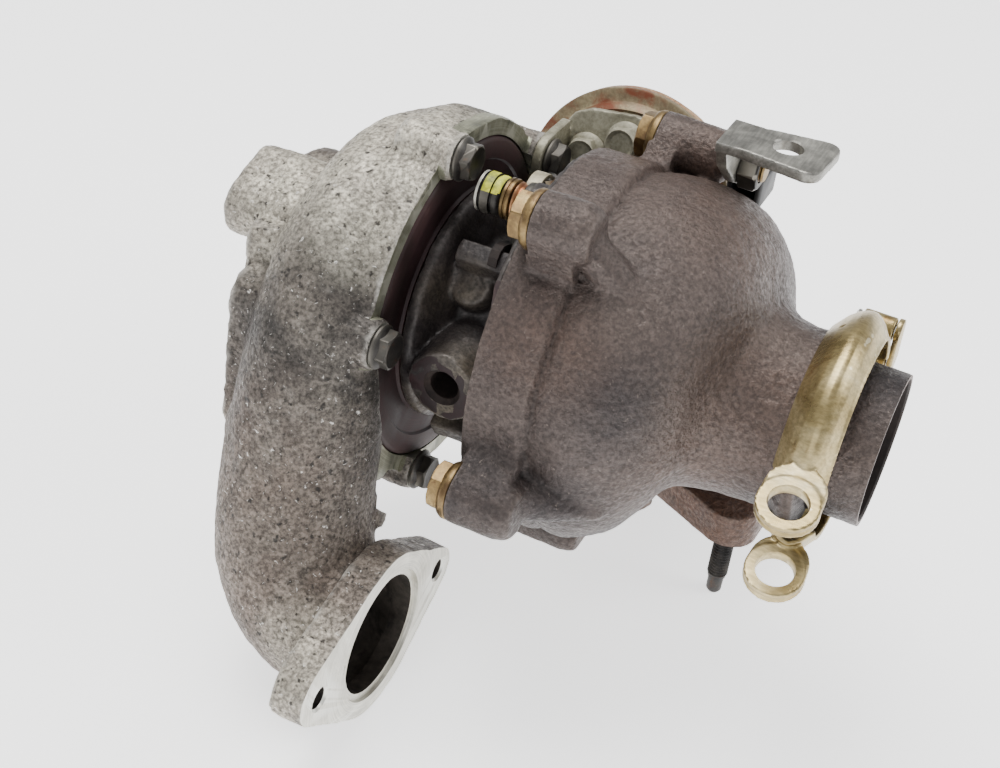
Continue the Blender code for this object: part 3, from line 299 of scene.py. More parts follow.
MATERIALS = {
    "cast_aluminium": casting(
        "sand_cast_aluminium",
        [(0.28, (68, 62, 57)), (0.42, (98, 91, 84)), (0.55, (124, 116, 107)), (0.72, (152, 145, 134))],
        0.35, (0.44, 0.76), 26, 860, 0.0003, ((206, 202, 194), 0.8), ((40, 36, 33), (226, 222, 216), 0.95),
        # The pale region is a painted highlight: a light sheen painted on the top of the cover and on the outlet
        # flange face.
        [("grime", (44, 41, 39), 0.9), ("warm", (106, 92, 82), 0.6), ("pale", (190, 184, 168), 0.75)],
        (0.5, 1.6, 0.78, 1.22)),
    "cut_aluminium": metal(
        "cut_aluminium",
        [(0.3, (168, 164, 150)), (0.5, (204, 201, 190)), (0.7, (226, 224, 214))], 0.75, (0.28, 0.46), 70,
        turned=OUTLET_POINT, fine=2600, edge=((240, 240, 234), 0.6), spots=((122, 112, 96), 0.62, 0.74, 160)),
    "turned_aluminium": metal(
        "turned_aluminium",
        [(0.3, (96, 96, 84)), (0.5, (136, 136, 118)), (0.7, (172, 170, 152))], 0.6, (0.34, 0.55), 90,
        turned=SHAFT_POINT, fine=3000, edge=((206, 205, 190), 0.6), spots=((66, 64, 56), 0.58, 0.72, 130)),
    "dark_bore": metal(
        "oily_bore",
        [(0.3, (44, 40, 37)), (0.55, (74, 68, 62)), (0.75, (98, 90, 82))], 0.4, (0.4, 0.65), 45, fine=500,
        spots=((30, 27, 26), 0.5, 0.68, 80)),
    "rusted_iron": casting(
        "heat_rusted_iron",
        [(0.3, (66, 56, 53)), (0.45, (76, 66, 62)), (0.58, (86, 75, 70)), (0.74, (98, 87, 81))],
        0.4, (0.3, 0.58), 20, 820, 0.0006, ((140, 126, 117), 0.3), ((46, 38, 36), (140, 127, 119), 0.45),
        # The first region darkens patches of the casting, most of them low on the front side.
        [("dark_patches", (42, 37, 38), 0.9), ("orange", (92, 62, 44), 0.85), ("warm", (92, 72, 62), 0.5)],
        (0.68, 1.34, 0.92, 1.09)),
    "cut_iron": metal(
        "machined_iron",
        [(0.3, (58, 48, 46)), (0.5, (88, 74, 70)), (0.7, (116, 100, 94))], 0.5, (0.4, 0.6), 60,
        turned=SHAFT_POINT, fine=2200, edge=((156, 140, 130), 0.5), spots=((104, 66, 44), 0.58, 0.72, 110)),
    "sooty_bore": metal(
        "sooty_bore",
        [(0.3, (26, 22, 21)), (0.55, (50, 41, 38)), (0.75, (74, 60, 54))], 0.25, (0.6, 0.85), 55, fine=700,
        spots=((20, 17, 17), 0.5, 0.7, 90)),
    "black_iron": casting(
        "oily_black_iron",
        [(0.3, (26, 22, 22)), (0.48, (42, 37, 37)), (0.62, (58, 52, 51)), (0.78, (80, 73, 70))],
        0.3, (0.34, 0.62), 32, 900, 0.00014, ((108, 102, 98), 0.5), ((16, 13, 13), (112, 106, 96), 0.35),
        [("dust", (118, 108, 92), 0.5)]),
    "maroon_plate": metal(
        "maroon_plate",
        [(0.3, (24, 15, 16)), (0.5, (42, 24, 26)), (0.68, (58, 34, 36)), (0.82, (84, 62, 60))], 0.25,
        (0.44, 0.68), 40,
        turned=SHAFT_POINT, fine=3600, edge=((142, 118, 110), 0.55), spots=((36, 24, 24), 0.56, 0.7, 70)),
    "dark_steel": metal(
        "phosphated_steel",
        [(0.3, (30, 29, 29)), (0.5, (48, 46, 45)), (0.7, (74, 70, 66))], 0.7, (0.36, 0.58), 140, fine=1500,
        edge=((176, 170, 158), 0.7), spots=((74, 54, 40), 0.56, 0.7, 260)),
    "gold_zinc": metal(
        "yellow_passivated_bolt",
        [(0.3, (70, 53, 34)), (0.46, (108, 86, 54)), (0.6, (142, 118, 78)), (0.78, (198, 178, 130))],
        0.8, (0.3, 0.54), 150, fine=1300, edge=((196, 174, 128), 0.5),
        spots=((84, 58, 38), 0.5, 0.66, 190)),
    "band_zinc": metal(
        "yellow_passivated_band",
        [(0.28, (126, 108, 70)), (0.45, (164, 146, 102)), (0.6, (190, 174, 132)), (0.78, (212, 204, 174))],
        0.85, (0.24, 0.44), 46, scratch=(0.25, 1, 1), fine=1100, edge=((232, 222, 190), 0.7),
        spots=((124, 92, 48), 0.56, 0.74, 75)),
    "grey_steel": metal(
        "worn_grey_steel",
        [(0.3, (108, 106, 101)), (0.5, (146, 144, 137)), (0.7, (182, 180, 171))], 0.7, (0.32, 0.5), 70,
        scratch=(1, 0.12, 1), fine=1200, edge=((216, 214, 210), 0.6), spots=((96, 84, 72), 0.60, 0.74, 110)),
    "rusty_zinc": metal(
        "khaki_rusty_zinc",
        [(0.28, (92, 76, 58)), (0.45, (126, 112, 86)), (0.6, (148, 138, 108)), (0.76, (166, 156, 128))],
        0.45, (0.42, 0.66), 55, fine=800, edge=((182, 172, 146), 0.5), spots=((112, 60, 38), 0.47, 0.64, 60)),
    "rust_red": casting(
        "rust_red_dome",
        [(0.28, (112, 74, 56)), (0.45, (150, 104, 78)), (0.6, (172, 134, 102)), (0.78, (188, 164, 134))],
        0.25, (0.5, 0.76), 42, 760, 0.00009, ((172, 148, 118), 0.4), ((70, 42, 34), (170, 150, 122), 0.45)),
    "plate_beige": metal(
        "beige_mounting_plate",
        [(0.28, (104, 98, 84)), (0.48, (142, 138, 120)), (0.64, (164, 160, 142)), (0.8, (182, 178, 162))],
        0.5, (0.4, 0.62), 60, fine=900, edge=((196, 190, 172), 0.5), spots=((110, 76, 52), 0.58, 0.72, 90)),
    "machined_steel": metal(
        "bright_machined_steel",
        [(0.3, (128, 124, 118)), (0.5, (164, 161, 156)), (0.72, (198, 196, 192))], 0.95, (0.22, 0.38), 110,
        fine=1800,
        edge=((222, 220, 214), 0.5), spots=((120, 92, 70), 0.66, 0.78, 150)),
    "wheel_aluminium": metal(
        "milled_aluminium",
        [(0.3, (170, 170, 170)), (0.5, (196, 196, 197)), (0.7, (214, 214, 216))], 0.95, (0.2, 0.34), 90,
        turned=SHAFT_POINT, fine=2500, edge=((232, 232, 232), 0.4), spots=((120, 112, 100), 0.64, 0.78, 120)),
    "bronze": metal(
        "heat_tinted_bronze",
        [(0.3, (104, 62, 44)), (0.5, (146, 94, 62)), (0.7, (182, 134, 92))], 0.9, (0.28, 0.46), 150,
        fine=1600,
        edge=((210, 178, 136), 0.6)),
    "cream_steel": metal(
        "cream_lever",
        [(0.3, (120, 110, 88)), (0.5, (168, 158, 132)), (0.7, (198, 190, 166))], 0.35, (0.36, 0.6), 150,
        fine=1000,
        edge=((216, 210, 192), 0.6), spots=((72, 58, 46), 0.55, 0.7, 220)),
    "black_plastic": metal(
        "moulded_black_plastic",
        [(0.3, (20, 20, 21)), (0.6, (33, 33, 34)), (0.8, (52, 50, 48))], 0, (0.42, 0.6), 70, fine=700,
        edge=((96, 92, 88), 0.4), spots=((92, 84, 72), 0.64, 0.78, 200)),
    "paint_mark": metal(
        "yellow_green_paint",
        [(0.3, (52, 50, 36)), (0.4, (150, 156, 42)), (0.54, (208, 208, 66)), (0.75, (230, 228, 124))],
        0, (0.4, 0.6), 230, fine=700),
    "stud_end": metal(
        "pale_stud_end",
        [(0.3, (150, 146, 136)), (0.5, (188, 184, 172)), (0.7, (214, 210, 200))], 0.6, (0.34, 0.5), 300,
        scratch=(1, 1, 0.15), fine=2600, edge=((226, 224, 216), 0.5)),
}


# ---------------------------------------------------------------- mesh helpers


def linked(name, data):
    obj = bpy.data.objects.new(name, data)
    bpy.context.scene.collection.objects.link(obj)
    return obj


def make(name, verts, faces):
    mesh = bpy.data.meshes.new(name)
    mesh.from_pydata([row(v) for v in verts], [], faces)
    bm = bmesh.new()
    bm.from_mesh(mesh)
    bmesh.ops.recalc_face_normals(bm, faces=bm.faces)
    if bm.calc_volume(signed=True) < 0:
        bmesh.ops.reverse_faces(bm, faces=bm.faces)
    bm.to_mesh(mesh)
    bm.free()
    return linked(name, mesh)


def skin(name, rings, closed=False):
    """Rings of equal length joined into a tube: capped at both ends, or closed on itself."""
    count = len(rings[0])
    verts = [p for ring in rings for p in ring]
    faces = []
    for i in range(len(rings) if closed else len(rings) - 1):
        a = i * count
        b = ((i + 1) % len(rings)) * count
        for j in range(count):
            k = (j + 1) % count
            faces.append((a + j, a + k, b + k, b + j))
    if not closed:
        faces.append(tuple(range(count)))
        faces.append(tuple(range(len(verts) - count, len(verts))))
    return make(name, verts, faces)


def frame_for(axis):
    axis = Vector(axis).normalized()
    side = Vector((0, 0, 1)) if abs(axis.z) < 0.9 else Vector((0, 1, 0))
    first = axis.cross(side).normalized()
    return first, axis.cross(first).normalized()


def fan(first, second, count, turn=0):
    """Unit directions round a circle in the plane of two vectors."""
    angles = [math.tau * j / count + turn for j in range(count)]
    return [math.cos(a) * first + math.sin(a) * second for a in angles]


def turned(name, base, axis, profile, segments=64):
    """A solid of (distance along, radius) stations about an axis, with flat ends."""
    axis = Vector(axis).normalized()
    spokes = fan(*frame_for(axis), segments)
    rings = []
    for along, radius in profile:
        centre = Vector(base) + axis * along
        rings.append([centre + radius * out for out in spokes])
    return skin(name, rings)


def ring_body(name, base, axis, profile, segments=64):
    """A hollow of revolution: a closed loop of (distance along, radius) about an axis."""
    axis = Vector(axis).normalized()
    rings = []
    for out in fan(*frame_for(axis), segments):
        rings.append([Vector(base) + axis * along + out * radius for along, radius in profile])
    return skin(name, rings, closed=True)


def rod(name, start, end, radius, segments=32):
    length = (Vector(end) - Vector(start)).length
    return turned(name, start, Vector(end) - Vector(start), [(0, radius), (length, radius)], segments)


def bar(name, low, high, spot, radius):
    """A rod along X through the last two coordinates of spot."""
    y, z = spot[-2:]
    return rod(name, (low, y, z), (high, y, z), radius)


def hull_outline(circles, segments=48):
    """The outline wrapped round circles given as (a, b, radius)."""
    points = []
    for a, b, radius in circles:
        for j in range(segments):
            angle = math.tau * j / segments
            points.append((a + radius * math.cos(angle), b + radius * math.sin(angle)))
    points = sorted(set((round(a, 4), round(b, 4)) for a, b in points))

    def half(sequence):
        chain = []
        for p in sequence:
            while len(chain) > 1:
                u, v = chain[-2], chain[-1]
                if (v[0] - u[0]) * (p[1] - u[1]) - (v[1] - u[1]) * (p[0] - u[0]) > 1e-6:
                    break
                chain.pop()
            chain.append(p)
        return chain[:-1]

    return half(points) + half(points[::-1])


def prism(name, outline, axis, low, high):
    """An outline in the two coordinates other than axis, extruded along axis."""
    k = "xyz".index(axis)
    return skin(name, [[(*spot[:k], level, *spot[k:]) for spot in outline] for level in (low, high)])


def plate(name, centre, u, v, outline, low, high):
    """An outline in the directions u and v about centre, extruded along their normal."""
    u = Vector(u).normalized()
    v = Vector(v).normalized()
    normal = u.cross(v)
    rings = []
    for level in (low, high):
        rings.append([Vector(centre) + u * a + v * b + normal * level for a, b in outline])
    return skin(name, rings)


def smooth_path(points, steps):
    """Points along a Catmull-Rom curve through the given tuples."""
    out = []
    padded = [points[0]] + points + [points[-1]]
    for i in range(1, len(padded) - 2):
        p0, p1, p2, p3 = padded[i - 1 : i + 3]
        for s in range(steps):
            t = s / steps
            values = []
            for a, b, c, d in zip(p0, p1, p2, p3):
                value = 2 * b + (c - a) * t + (2 * a - 5 * b + 4 * c - d) * t * t
                values.append(0.5 * (value + (3 * b - a - 3 * c + d) * t ** 3))
            out.append(tuple(values))
    out.append(points[-1])
    return out


def tube(name, stations, inset, segments):
    """A tube through (x, y, z, radius) stations, with rings across the path."""
    centres = [Vector(s[:3]) for s in stations]
    rings = []
    up = Vector((1, 0, 0))
    for i, station in enumerate(stations):
        ahead = centres[min(i + 1, len(centres) - 1)]
        behind = centres[max(i - 1, 0)]
        tangent = (ahead - behind).normalized()
        up = (up - tangent * up.dot(tangent)).normalized()
        radius = station[3] - inset
        spokes = fan(up, tangent.cross(up).normalized(), segments)
        rings.append([centres[i] + radius * out for out in spokes])
    return skin(name, rings)


def sheet(name, grid, thickness):
    """A thin solid about a grid of points."""
    rows = len(grid)
    columns = len(grid[0])
    front = []
    back = []
    for i in range(rows):
        for j in range(columns):
            along = grid[min(i + 1, rows - 1)][j] - grid[max(i - 1, 0)][j]
            across = grid[i][min(j + 1, columns - 1)] - grid[i][max(j - 1, 0)]
            normal = along.cross(across).normalized() * thickness / 2
            front.append(grid[i][j] + normal)
            back.append(grid[i][j] - normal)
    size = rows * columns
    faces = []
    for i in range(rows - 1):
        for j in range(columns - 1):
            a = i * columns + j
            faces.append((a, a + 1, a + columns + 1, a + columns))
            faces.append((size + a, size + a + columns, size + a + columns + 1, size + a + 1))
    edge = list(range(columns))
    edge += [i * columns + columns - 1 for i in range(1, rows)]
    edge += [size - 1 - j for j in range(1, columns)]
    edge += [i * columns for i in range(rows - 2, 0, -1)]
    for k, a in enumerate(edge):
        b = edge[(k + 1) % len(edge)]
        faces.append((a, size + a, size + b, b))
    return make(name, front + back, faces)


def applied(obj):
    """Takes the modified mesh as the object's own."""
    graph = bpy.context.evaluated_depsgraph_get()
    mesh = bpy.data.meshes.new_from_object(obj.evaluated_get(graph))
    obj.modifiers.clear()
    old = obj.data
    obj.data = mesh
    bpy.data.meshes.remove(old)
    return obj


def joined(name, parts):
    """Several closed bodies as one object."""
    bm = bmesh.new()
    for part in parts:
        bm.from_mesh(part.data)
        bpy.data.objects.remove(part, do_unlink=True)
    mesh = bpy.data.meshes.new(name)
    bm.to_mesh(mesh)
    bm.free()
    return linked(name, mesh)


def rounded(obj, width, segments=2, angle=28):
    modifier = obj.modifiers.new("Bevel", "BEVEL")
    modifier.width = width * MM
    modifier.segments = segments
    modifier.limit_method = "ANGLE"
    modifier.angle_limit = math.radians(angle)
    modifier.use_clamp_overlap = True
    return applied(obj)


def carve(obj, *tools, index=0, operation="DIFFERENCE"):
    """Booleans in turn; the faces that a tool leaves take the material of that index."""
    for tool in tools:
        tool.data.polygons.foreach_set("material_index", [index] * len(tool.data.polygons))
        modifier = obj.modifiers.new("Boolean", "BOOLEAN")
        modifier.operation = operation
        modifier.solver = "MANIFOLD"
        modifier.object = tool
        applied(obj)
        bpy.data.objects.remove(tool, do_unlink=True)
    return obj


def face_off(body, axis, low, high, half=200):
    """Cuts a flat machined face with a slab from low to high along axis."""
    square = [(-half, -half), (half, -half), (half, half), (-half, half)]
    carve(body, prism("face", square, axis, low, high), index=1)


def plain_nut(name, ends, spot, corner, bevel, dome):
    """A hex nut along X, rounded by a domed tool."""
    y, z = spot[-2:]
    rings = [[Vector((x, y, z)) + polar(0, corner, 60 * j) for j in range(6)] for x in ends]
    return carve(rounded(skin(name, rings), bevel), dome, operation="INTERSECT")


def points_of(obj):
    co = np.empty(len(obj.data.vertices) * 3, np.float64)
    obj.data.vertices.foreach_get("co", co)
    return (co.reshape(-1, 3) - np.array(ORIGIN)) / MM


def roughen(obj, layers):
    """Moves each point along its normal by layers of (wavelength, height) noise, in millimetres."""
    points = points_of(obj)
    normals = np.empty(len(points) * 3)
    obj.data.vertices.foreach_get("normal", normals)
    normals = normals.reshape(-1, 3)
    move = np.zeros(len(points))
    for k, (length, height) in enumerate(layers):
        shift = Vector((31.7 * k, 11.3, 7.1 * k))
        move += height * np.array([noise.noise(Vector(p) / length + shift) for p in points])
    points += normals * move[:, None]
    obj.data.vertices.foreach_set("co", (points * MM + np.array(ORIGIN)).astype(np.float32).ravel())
    obj.data.update()
    return obj


def cast(name, parts, voxel, smooth, layers):
    """Bodies fused and softened as one casting, with an uneven sand-cast skin."""
    obj = joined(name, parts)
    remesh = obj.modifiers.new("Remesh", "REMESH")
    remesh.mode = "VOXEL"
    remesh.voxel_size = voxel * MM
    soften = obj.modifiers.new("Smooth", "SMOOTH")
    soften.factor = 0.5
    soften.iterations = smooth
    applied(obj)
    return roughen(obj, layers)


def stain_and_sheen(obj, name, spots):
    """A point attribute that is 1 inside each (x, y, z, radius) and fades out past it."""
    points = points_of(obj)
    value = np.zeros(len(points))
    for x, y, z, radius in spots:
        far = np.linalg.norm(points - np.array((x, y, z)), axis=1) / radius
        value = np.maximum(value, np.clip(1.6 - far, 0, 1))
    attribute = obj.data.attributes.new(name, "FLOAT", "POINT")
    attribute.data.foreach_set("value", value.astype(np.float32))


def repaint(obj, index, test):
    """Gives the faces whose centre and normal pass the test a material index."""
    for polygon in obj.data.polygons:
        centre = (polygon.center - ORIGIN) / MM
        if test(centre, polygon.normal):
            polygon.material_index = index


def piece(obj, body, slot, nodes=(), materials=None, sharp=32):
    """Finishes a piece: materials, shading, the body it rides on and the CAD nodes it stands for."""
    index = np.empty(len(obj.data.polygons), np.int32)
    obj.data.polygons.foreach_get("material_index", index)
    obj.data.materials.clear()
    for name in materials or [slot]:
        obj.data.materials.append(MATERIALS[name])
    obj.data.polygons.foreach_set("material_index", np.minimum(index, len(obj.data.materials) - 1))
    obj.data.polygons.foreach_set("use_smooth", [True] * len(obj.data.polygons))
    obj.data.set_sharp_from_angle(angle=math.radians(sharp))
    obj.data.update()
    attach(obj, body)
    if nodes:
        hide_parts(*nodes)
    return obj


# ---------------------------------------------------------------- compressor side


def compressor_path():
    keys = []
    for deg, centre_r, x, radius in SCROLL_ARC:
        keys.append((*polar(x, centre_r, deg), radius))
    keys += [(-19.5, -58, -28, 23), (-16, -67.5, -53, 24), (-7, -73.5, -67.5, 24)]
    keys += [(6, OUTLET_Y, OUTLET_Z, 23.5), (13, OUTLET_Y, OUTLET_Z, 23)]
    return smooth_path(keys, 8)


def compressor_housing():
    profile = [(-0.1, COVER_RIM_R), (-8, COVER_RIM_R), (-15, COVER_RIM_R + 0.5), (-21, 55.6), (-27, 52),
               (-32, 47.4), (-36, 42), (-40, 36.6), (-42, 34.5), (-45, 32.4), (-55, INLET_RIM_R),
               (INLET_FACE_X - 1, INLET_RIM_R)]
    flange = hull_outline([(OUTLET_Y, OUTLET_Z, 27), (-110, -63.5, 10), (-41, -74, 8.5)])
    pad = hull_outline([(-47, 12, 9), (-52, -24, 9)])
    step = hull_outline([(-45, 10, 6), (-50, -22, 6)])
    parts = [
        tube("scroll", compressor_path(), 0, 56),
        turned("cover", CENTRE, AXIS, profile, 128),
        prism("flange", flange, "x", 9.4, OUTLET_X + 1.6),
        prism("boss", hull_outline([(y, z, 9.3) for y, z in BOSS_HOLES]), "x", -62.6, -24),
        bar("web", -50, -24, (-18, 30), 8.4),
        prism("pad", pad, "x", -46.5, -24),
        prism("step", step, "x", -49, -24),
        rod("stub", (-49, -38, 24), (-24, -36, 24), 7),
    ]
    ears = [polar(0, COVER_BOLT_R, deg) for deg in COVER_BOLT_ANGLES]
    parts += [bar("ear", -16, 3.4, spot, 7.3) for spot in ears]
    parts += [bar("scallop", -13, -0.4, polar(0, reach, deg), 5.2) for deg, reach in SCALLOPS]
    crease = [(-33, -58, -6, 6), (-36, -63, -22, 6.5), (-34, -70, -38, 5)]
    rib = [(2, -52, -52, 5), (-2, -56, -40, 5.6), (-9, -54, -26, 4)]
    parts += [tube("crease", crease, 0, 24), tube("rib", rib, 0, 24)]
    body = cast("compressor_cover", parts, 1, 7, [(9, 0.42), (3.4, 0.22), (1.7, 0.12)])
    face_off(body, "x", OUTLET_X, OUTLET_X + 30)
    face_off(body, "x", -90, -62)
    mouth = hull_outline([(0, 0, INLET_RIM_R + 2)])
    carve(body, prism("face", mouth, "x", -61.9, INLET_FACE_X), index=1)
    rim = ring_body("rim", CENTRE, AXIS, [(-0.6, 40), (-0.6, 70), (8, 70), (8, 40)], 96)
    carve(rim, tube("keep", compressor_path(), -0.6, 56))
    for spot in ears:
        carve(rim, bar("keep", -2, 10, spot, 7.6))
    carve(body, rim, index=2)
    for spot in ears:
        carve(body, bar("seat", 2.6, 6, spot, 9), index=1)
    channel = compressor_path()
    channel.append((OUTLET_X + 2, OUTLET_Y, OUTLET_Z, OUTLET_BORE_R + 3.8))
    carve(body, tube("channel", channel, 3.8, 40), index=3)
    step = [(0, OUTLET_BORE_R + 1.9), (1.3, OUTLET_BORE_R + 2.2), (3, OUTLET_BORE_R + 2.2)]
    carve(body, turned("step", (OUTLET_X - 1.3, OUTLET_Y, OUTLET_Z), AXIS, step, 96), index=1)
    stations = [(8, BACKPLATE_R + 0.3), (-8.3, BACKPLATE_R + 0.3), (-8.3, 41), (-12.6, 41), (-14.3, 27),
                (-18.2, 23), (-23, 20.6), (-29, 19.8), (-40, 19.8), (-46, 22.5), (-50, INLET_BORE_R - 0.4),
                (-56.4, INLET_BORE_R), (INLET_FACE_X - 2, INLET_BORE_R + 2.4)]
    carve(body, turned("chamber", CENTRE, AXIS, stations, 128), index=2)
    for y, z in OUTLET_BOLTS:
        carve(body, bar("hole", 4, OUTLET_X + 1, (y, z), 3.4), index=3)
        cone = [(0, 3.3), (0.9, 4.2), (2, 5.4)]
        carve(body, turned("sink", (OUTLET_X - 0.9, y, z), AXIS, cone, 32), index=1)
    for spot in BOSS_HOLES:
        carve(body, bar("tap", -63.5, -46, spot, 3.4), index=3)
    repaint(body, 1, lambda c, n: n.x < -0.7 and -47.2 < c.x < -45.6 and -70 < c.y < -34)
    repaint(body, 2, lambda c, n: c.x > -6 and 54 < math.degrees(math.atan2(c.z, c.y)) < 94
            and math.hypot(c.y, c.z) > 50)
    stain_and_sheen(body, "grime", [(-6, -48, 6, 24), (-8, -50, -18, 26), (-14, -44, 34, 16),
                          (-4, -30, 48, 10), (-26, -70, 2, 26), (-20, -60, -38, 16),
                          (0, 30, 50, 18), (-50, -60, -10, 14)])
    stain_and_sheen(body, "warm", [(-8, -88, -64, 34), (-30, -76, -30, 30), (-34, 0, 42, 18)])
    # Painted highlight: the pale regions paint a light sheen on the top of the cover and a whitish sheen on the
    # outlet flange face.
    stain_and_sheen(body, "pale", [(-22, -16, 58, 30), (-12, -34, 52, 20), (-40, -24, 36, 22),
                         (10, -108, -64, 16)])
    piece(body, "housing", "cast_aluminium", ["compressor_housing"],
          ["cast_aluminium", "cut_aluminium", "turned_aluminium", "dark_bore"])


def backplate():
    profile = [(0, 10.4), (0, 36.8), (-0.8, 37.4), (-0.8, 44.6), (0, 45.2), (0, 50.4), (-0.5, 51.4),
               (-1.3, 51.9), (-3, 52), (-3.2, 51.7), (-3.2, 50.4), (-5.6, 50.4), (-5.6, 51.7), (-5.9, 52),
               (-BACKPLATE_T, 52), (-BACKPLATE_T, 26.5), (-6, 26.3), (-6, 10.4)]
    body = ring_body("back_plate", CENTRE, AXIS, profile, 160)
    piece(body, "housing", "maroon_plate", ["backplate"])


def hex_screw(name, base, axis, across, head, flange_r, flange_t, shank_r, shank, turn=0, dish=0):
    """A flanged hex screw: a chamfered head, a sloping flange and a shank with thread ridges."""
    axis = Vector(axis).normalized()
    base = Vector(base)
    corner = across / math.sqrt(3)
    spokes = fan(*frame_for(axis), 6, turn)
    rings = [[base + axis * along + out * corner for out in spokes] for along in (flange_t * 0.3, head)]
    hexagon = rounded(skin("hex", rings), 0.3)
    dome = [(-1, corner + 1), (head - 1.5, corner + 0.7), (head - 0.75, corner - 0.15),
            (head - 0.2, corner - 0.95), (head - dish, corner - 2.2), (head - dish, 0.4)]
    carve(hexagon, turned("dome", base, axis, dome, 48), operation="INTERSECT")
    stations = [(0, shank_r), (0, flange_r - 0.25), (0.3, flange_r), (flange_t * 0.55, flange_r),
                (flange_t, flange_r - 0.7), (flange_t + 0.7, corner * 0.86), (flange_t + 0.7, 0.5)]
    flange = turned("flange", base, axis, stations, 48)
    thread = [(-shank, shank_r - 0.5)]
    count = max(2, int(shank))
    for k in range(count):
        along = -shank + 0.5 + (shank - 0.6) * k / count
        thread += [(along, shank_r), (along + (shank - 0.6) / count * 0.5, shank_r - 0.35)]
    thread.append((0.1, shank_r - 0.2))
    return joined(name, [hexagon, flange, turned("shank", base, axis, thread, 28)])


def compressor_bolts():
    for i, deg in enumerate(COVER_BOLT_ANGLES):
        lift = 3.6 if i == 0 else 0
        spot = polar(2.9 + lift, COVER_BOLT_R, deg)
        screw = hex_screw("cover_screw_%d" % (i + 1), spot, AXIS,
                          10, 5.2, 6.6, 1.6, 2.9, 9 + lift, 0.3 + i * 0.4, 0.5)
        piece(screw, "housing", "dark_steel", ["compressor_bolt_%d" % (i + 1)])


def bearing_housing():
    profile = [(0.3, 37.5), (3.6, 37.5), (5, 35.5), (7, 29.5), (10, 23.6), (14, 22.6), (22, 22.6),
               (26.4, 25), (28.4, 40), (29.6, 53), (29.9, 56.2), (BEARING_FACE_X, 56.2),
               (BEARING_FACE_X, 51.4), (33.2, 51.4), (33.2, 17.5), (37, 16.5), (37, 9)]
    feed = [(10, 14), (26, 12.6), (34, 11.6), (39.5, 11)]
    parts = [
        turned("core", CENTRE, AXIS, profile, 96),
        turned("feed", (16, 0, -3), (0, -1, 0), feed, 48),
        prism("drain", hull_outline([(16, -8, 9), (16, 14, 9)]), "z", -36, -12),
        bar("crank_boss", 24, 30.5, CRANK, 7),
        prism("rib", [(-14, 16), (-22, 30), (-17, 34), (-8, 20)], "x", 8, 27),
        prism("rib", [(-16, -12), (-32, -24), (-29, -30), (-12, -20)], "x", 9, 27),
        turned("plug", (14, -10, 14), (-0.05, -0.8, 0.6), [(0, 8), (11, 7), (13, 6.2)], 40),
    ]
    for i in LOBE_BOLTS:
        parts.append(bar("lobe", LOBE_FACE_X, 31.5, polar(0, 57.5, TURBINE_BOLT_ANGLES[i]), 6.1))
    body = cast("centre_housing", parts, 0.85, 4, [(7, 0.4), (2.8, 0.2)])
    for axis, low, high in (("x", -10, 0.3), ("y", -60, -39.5), ("z", -60, -36)):
        face_off(body, axis, low, high, 70)
    stations = [(-1, 10.4), (6.6, 10.4), (6.6, 8), (36, 8), (36, 6), (39, 6)]
    carve(body, turned("bore", CENTRE, AXIS, stations, 64), index=1)
    port = [(0, 4.6), (31.9, 4.6), (33, 5.8), (36, 7)]
    carve(body, turned("port", (16, -6, -3), (0, -1, 0), port, 48), index=2)
    carve(body, rod("port", (16, 3, -37), (16, 3, -6), 6.5), index=2)
    carve(body, bar("crank_bore", 20, 34.5, CRANK, 3.65), index=2)
    for i in LOBE_BOLTS:
        carve(body, bar("notch", 28, 34, polar(0, TURBINE_BOLT_R, TURBINE_BOLT_ANGLES[i]), 4.6), index=1)
    stain_and_sheen(body, "dust", [(14, -30, 22, 9), (18, -38, -10, 8), (26, -44, 8, 12),
                         (6, -30, -20, 10)])
    piece(body, "housing", "black_iron", ["bearing_housing"], ["black_iron", "maroon_plate", "sooty_bore"])


def compressor_blade(phase, start):
    grid = []
    for i in range(15):
        s = start + (1 - start) * i / 14
        hub = (-35.2 + 27 * s ** 0.95, 5.6 + 19.6 * s ** 2.3)
        tip = (-35.7 + 22 * s ** 0.8, 18.9 + 6.6 * s ** 3)
        line = []
        for j in range(7):
            t = j / 6
            x = hub[0] + (tip[0] - hub[0]) * t
            r = hub[1] + (tip[1] - hub[1]) * t
            wrap = -52 * s ** 0.7 * (0.75 + 0.45 * t * (1 - s))
            line.append(polar(x, r, phase + wrap - 10 * t * (1 - s)))
        grid.append(line)
    return sheet("blade", grid, 0.75)


def turbine_blade(phase):
    grid = []
    for i in range(15):
        s = i / 14
        hub = (42.6 + 19.5 * s, 22 - 16.5 * math.sin(math.pi / 2 * min(1, s * 1.25)))
        tip = (49.3 + 14.2 * s, 23.8 - (23.8 - EXDUCER_R) * min(1, s * 2.6))
        line = []
        for j in range(7):
            t = j / 6
            x = hub[0] + (tip[0] - hub[0]) * t
            r = hub[1] + (tip[1] - hub[1]) * t
            line.append(polar(x, r, phase + 46 * s * s * (0.55 + 0.45 * t)))
        grid.append(line)
    return sheet("blade", grid, 1.1)


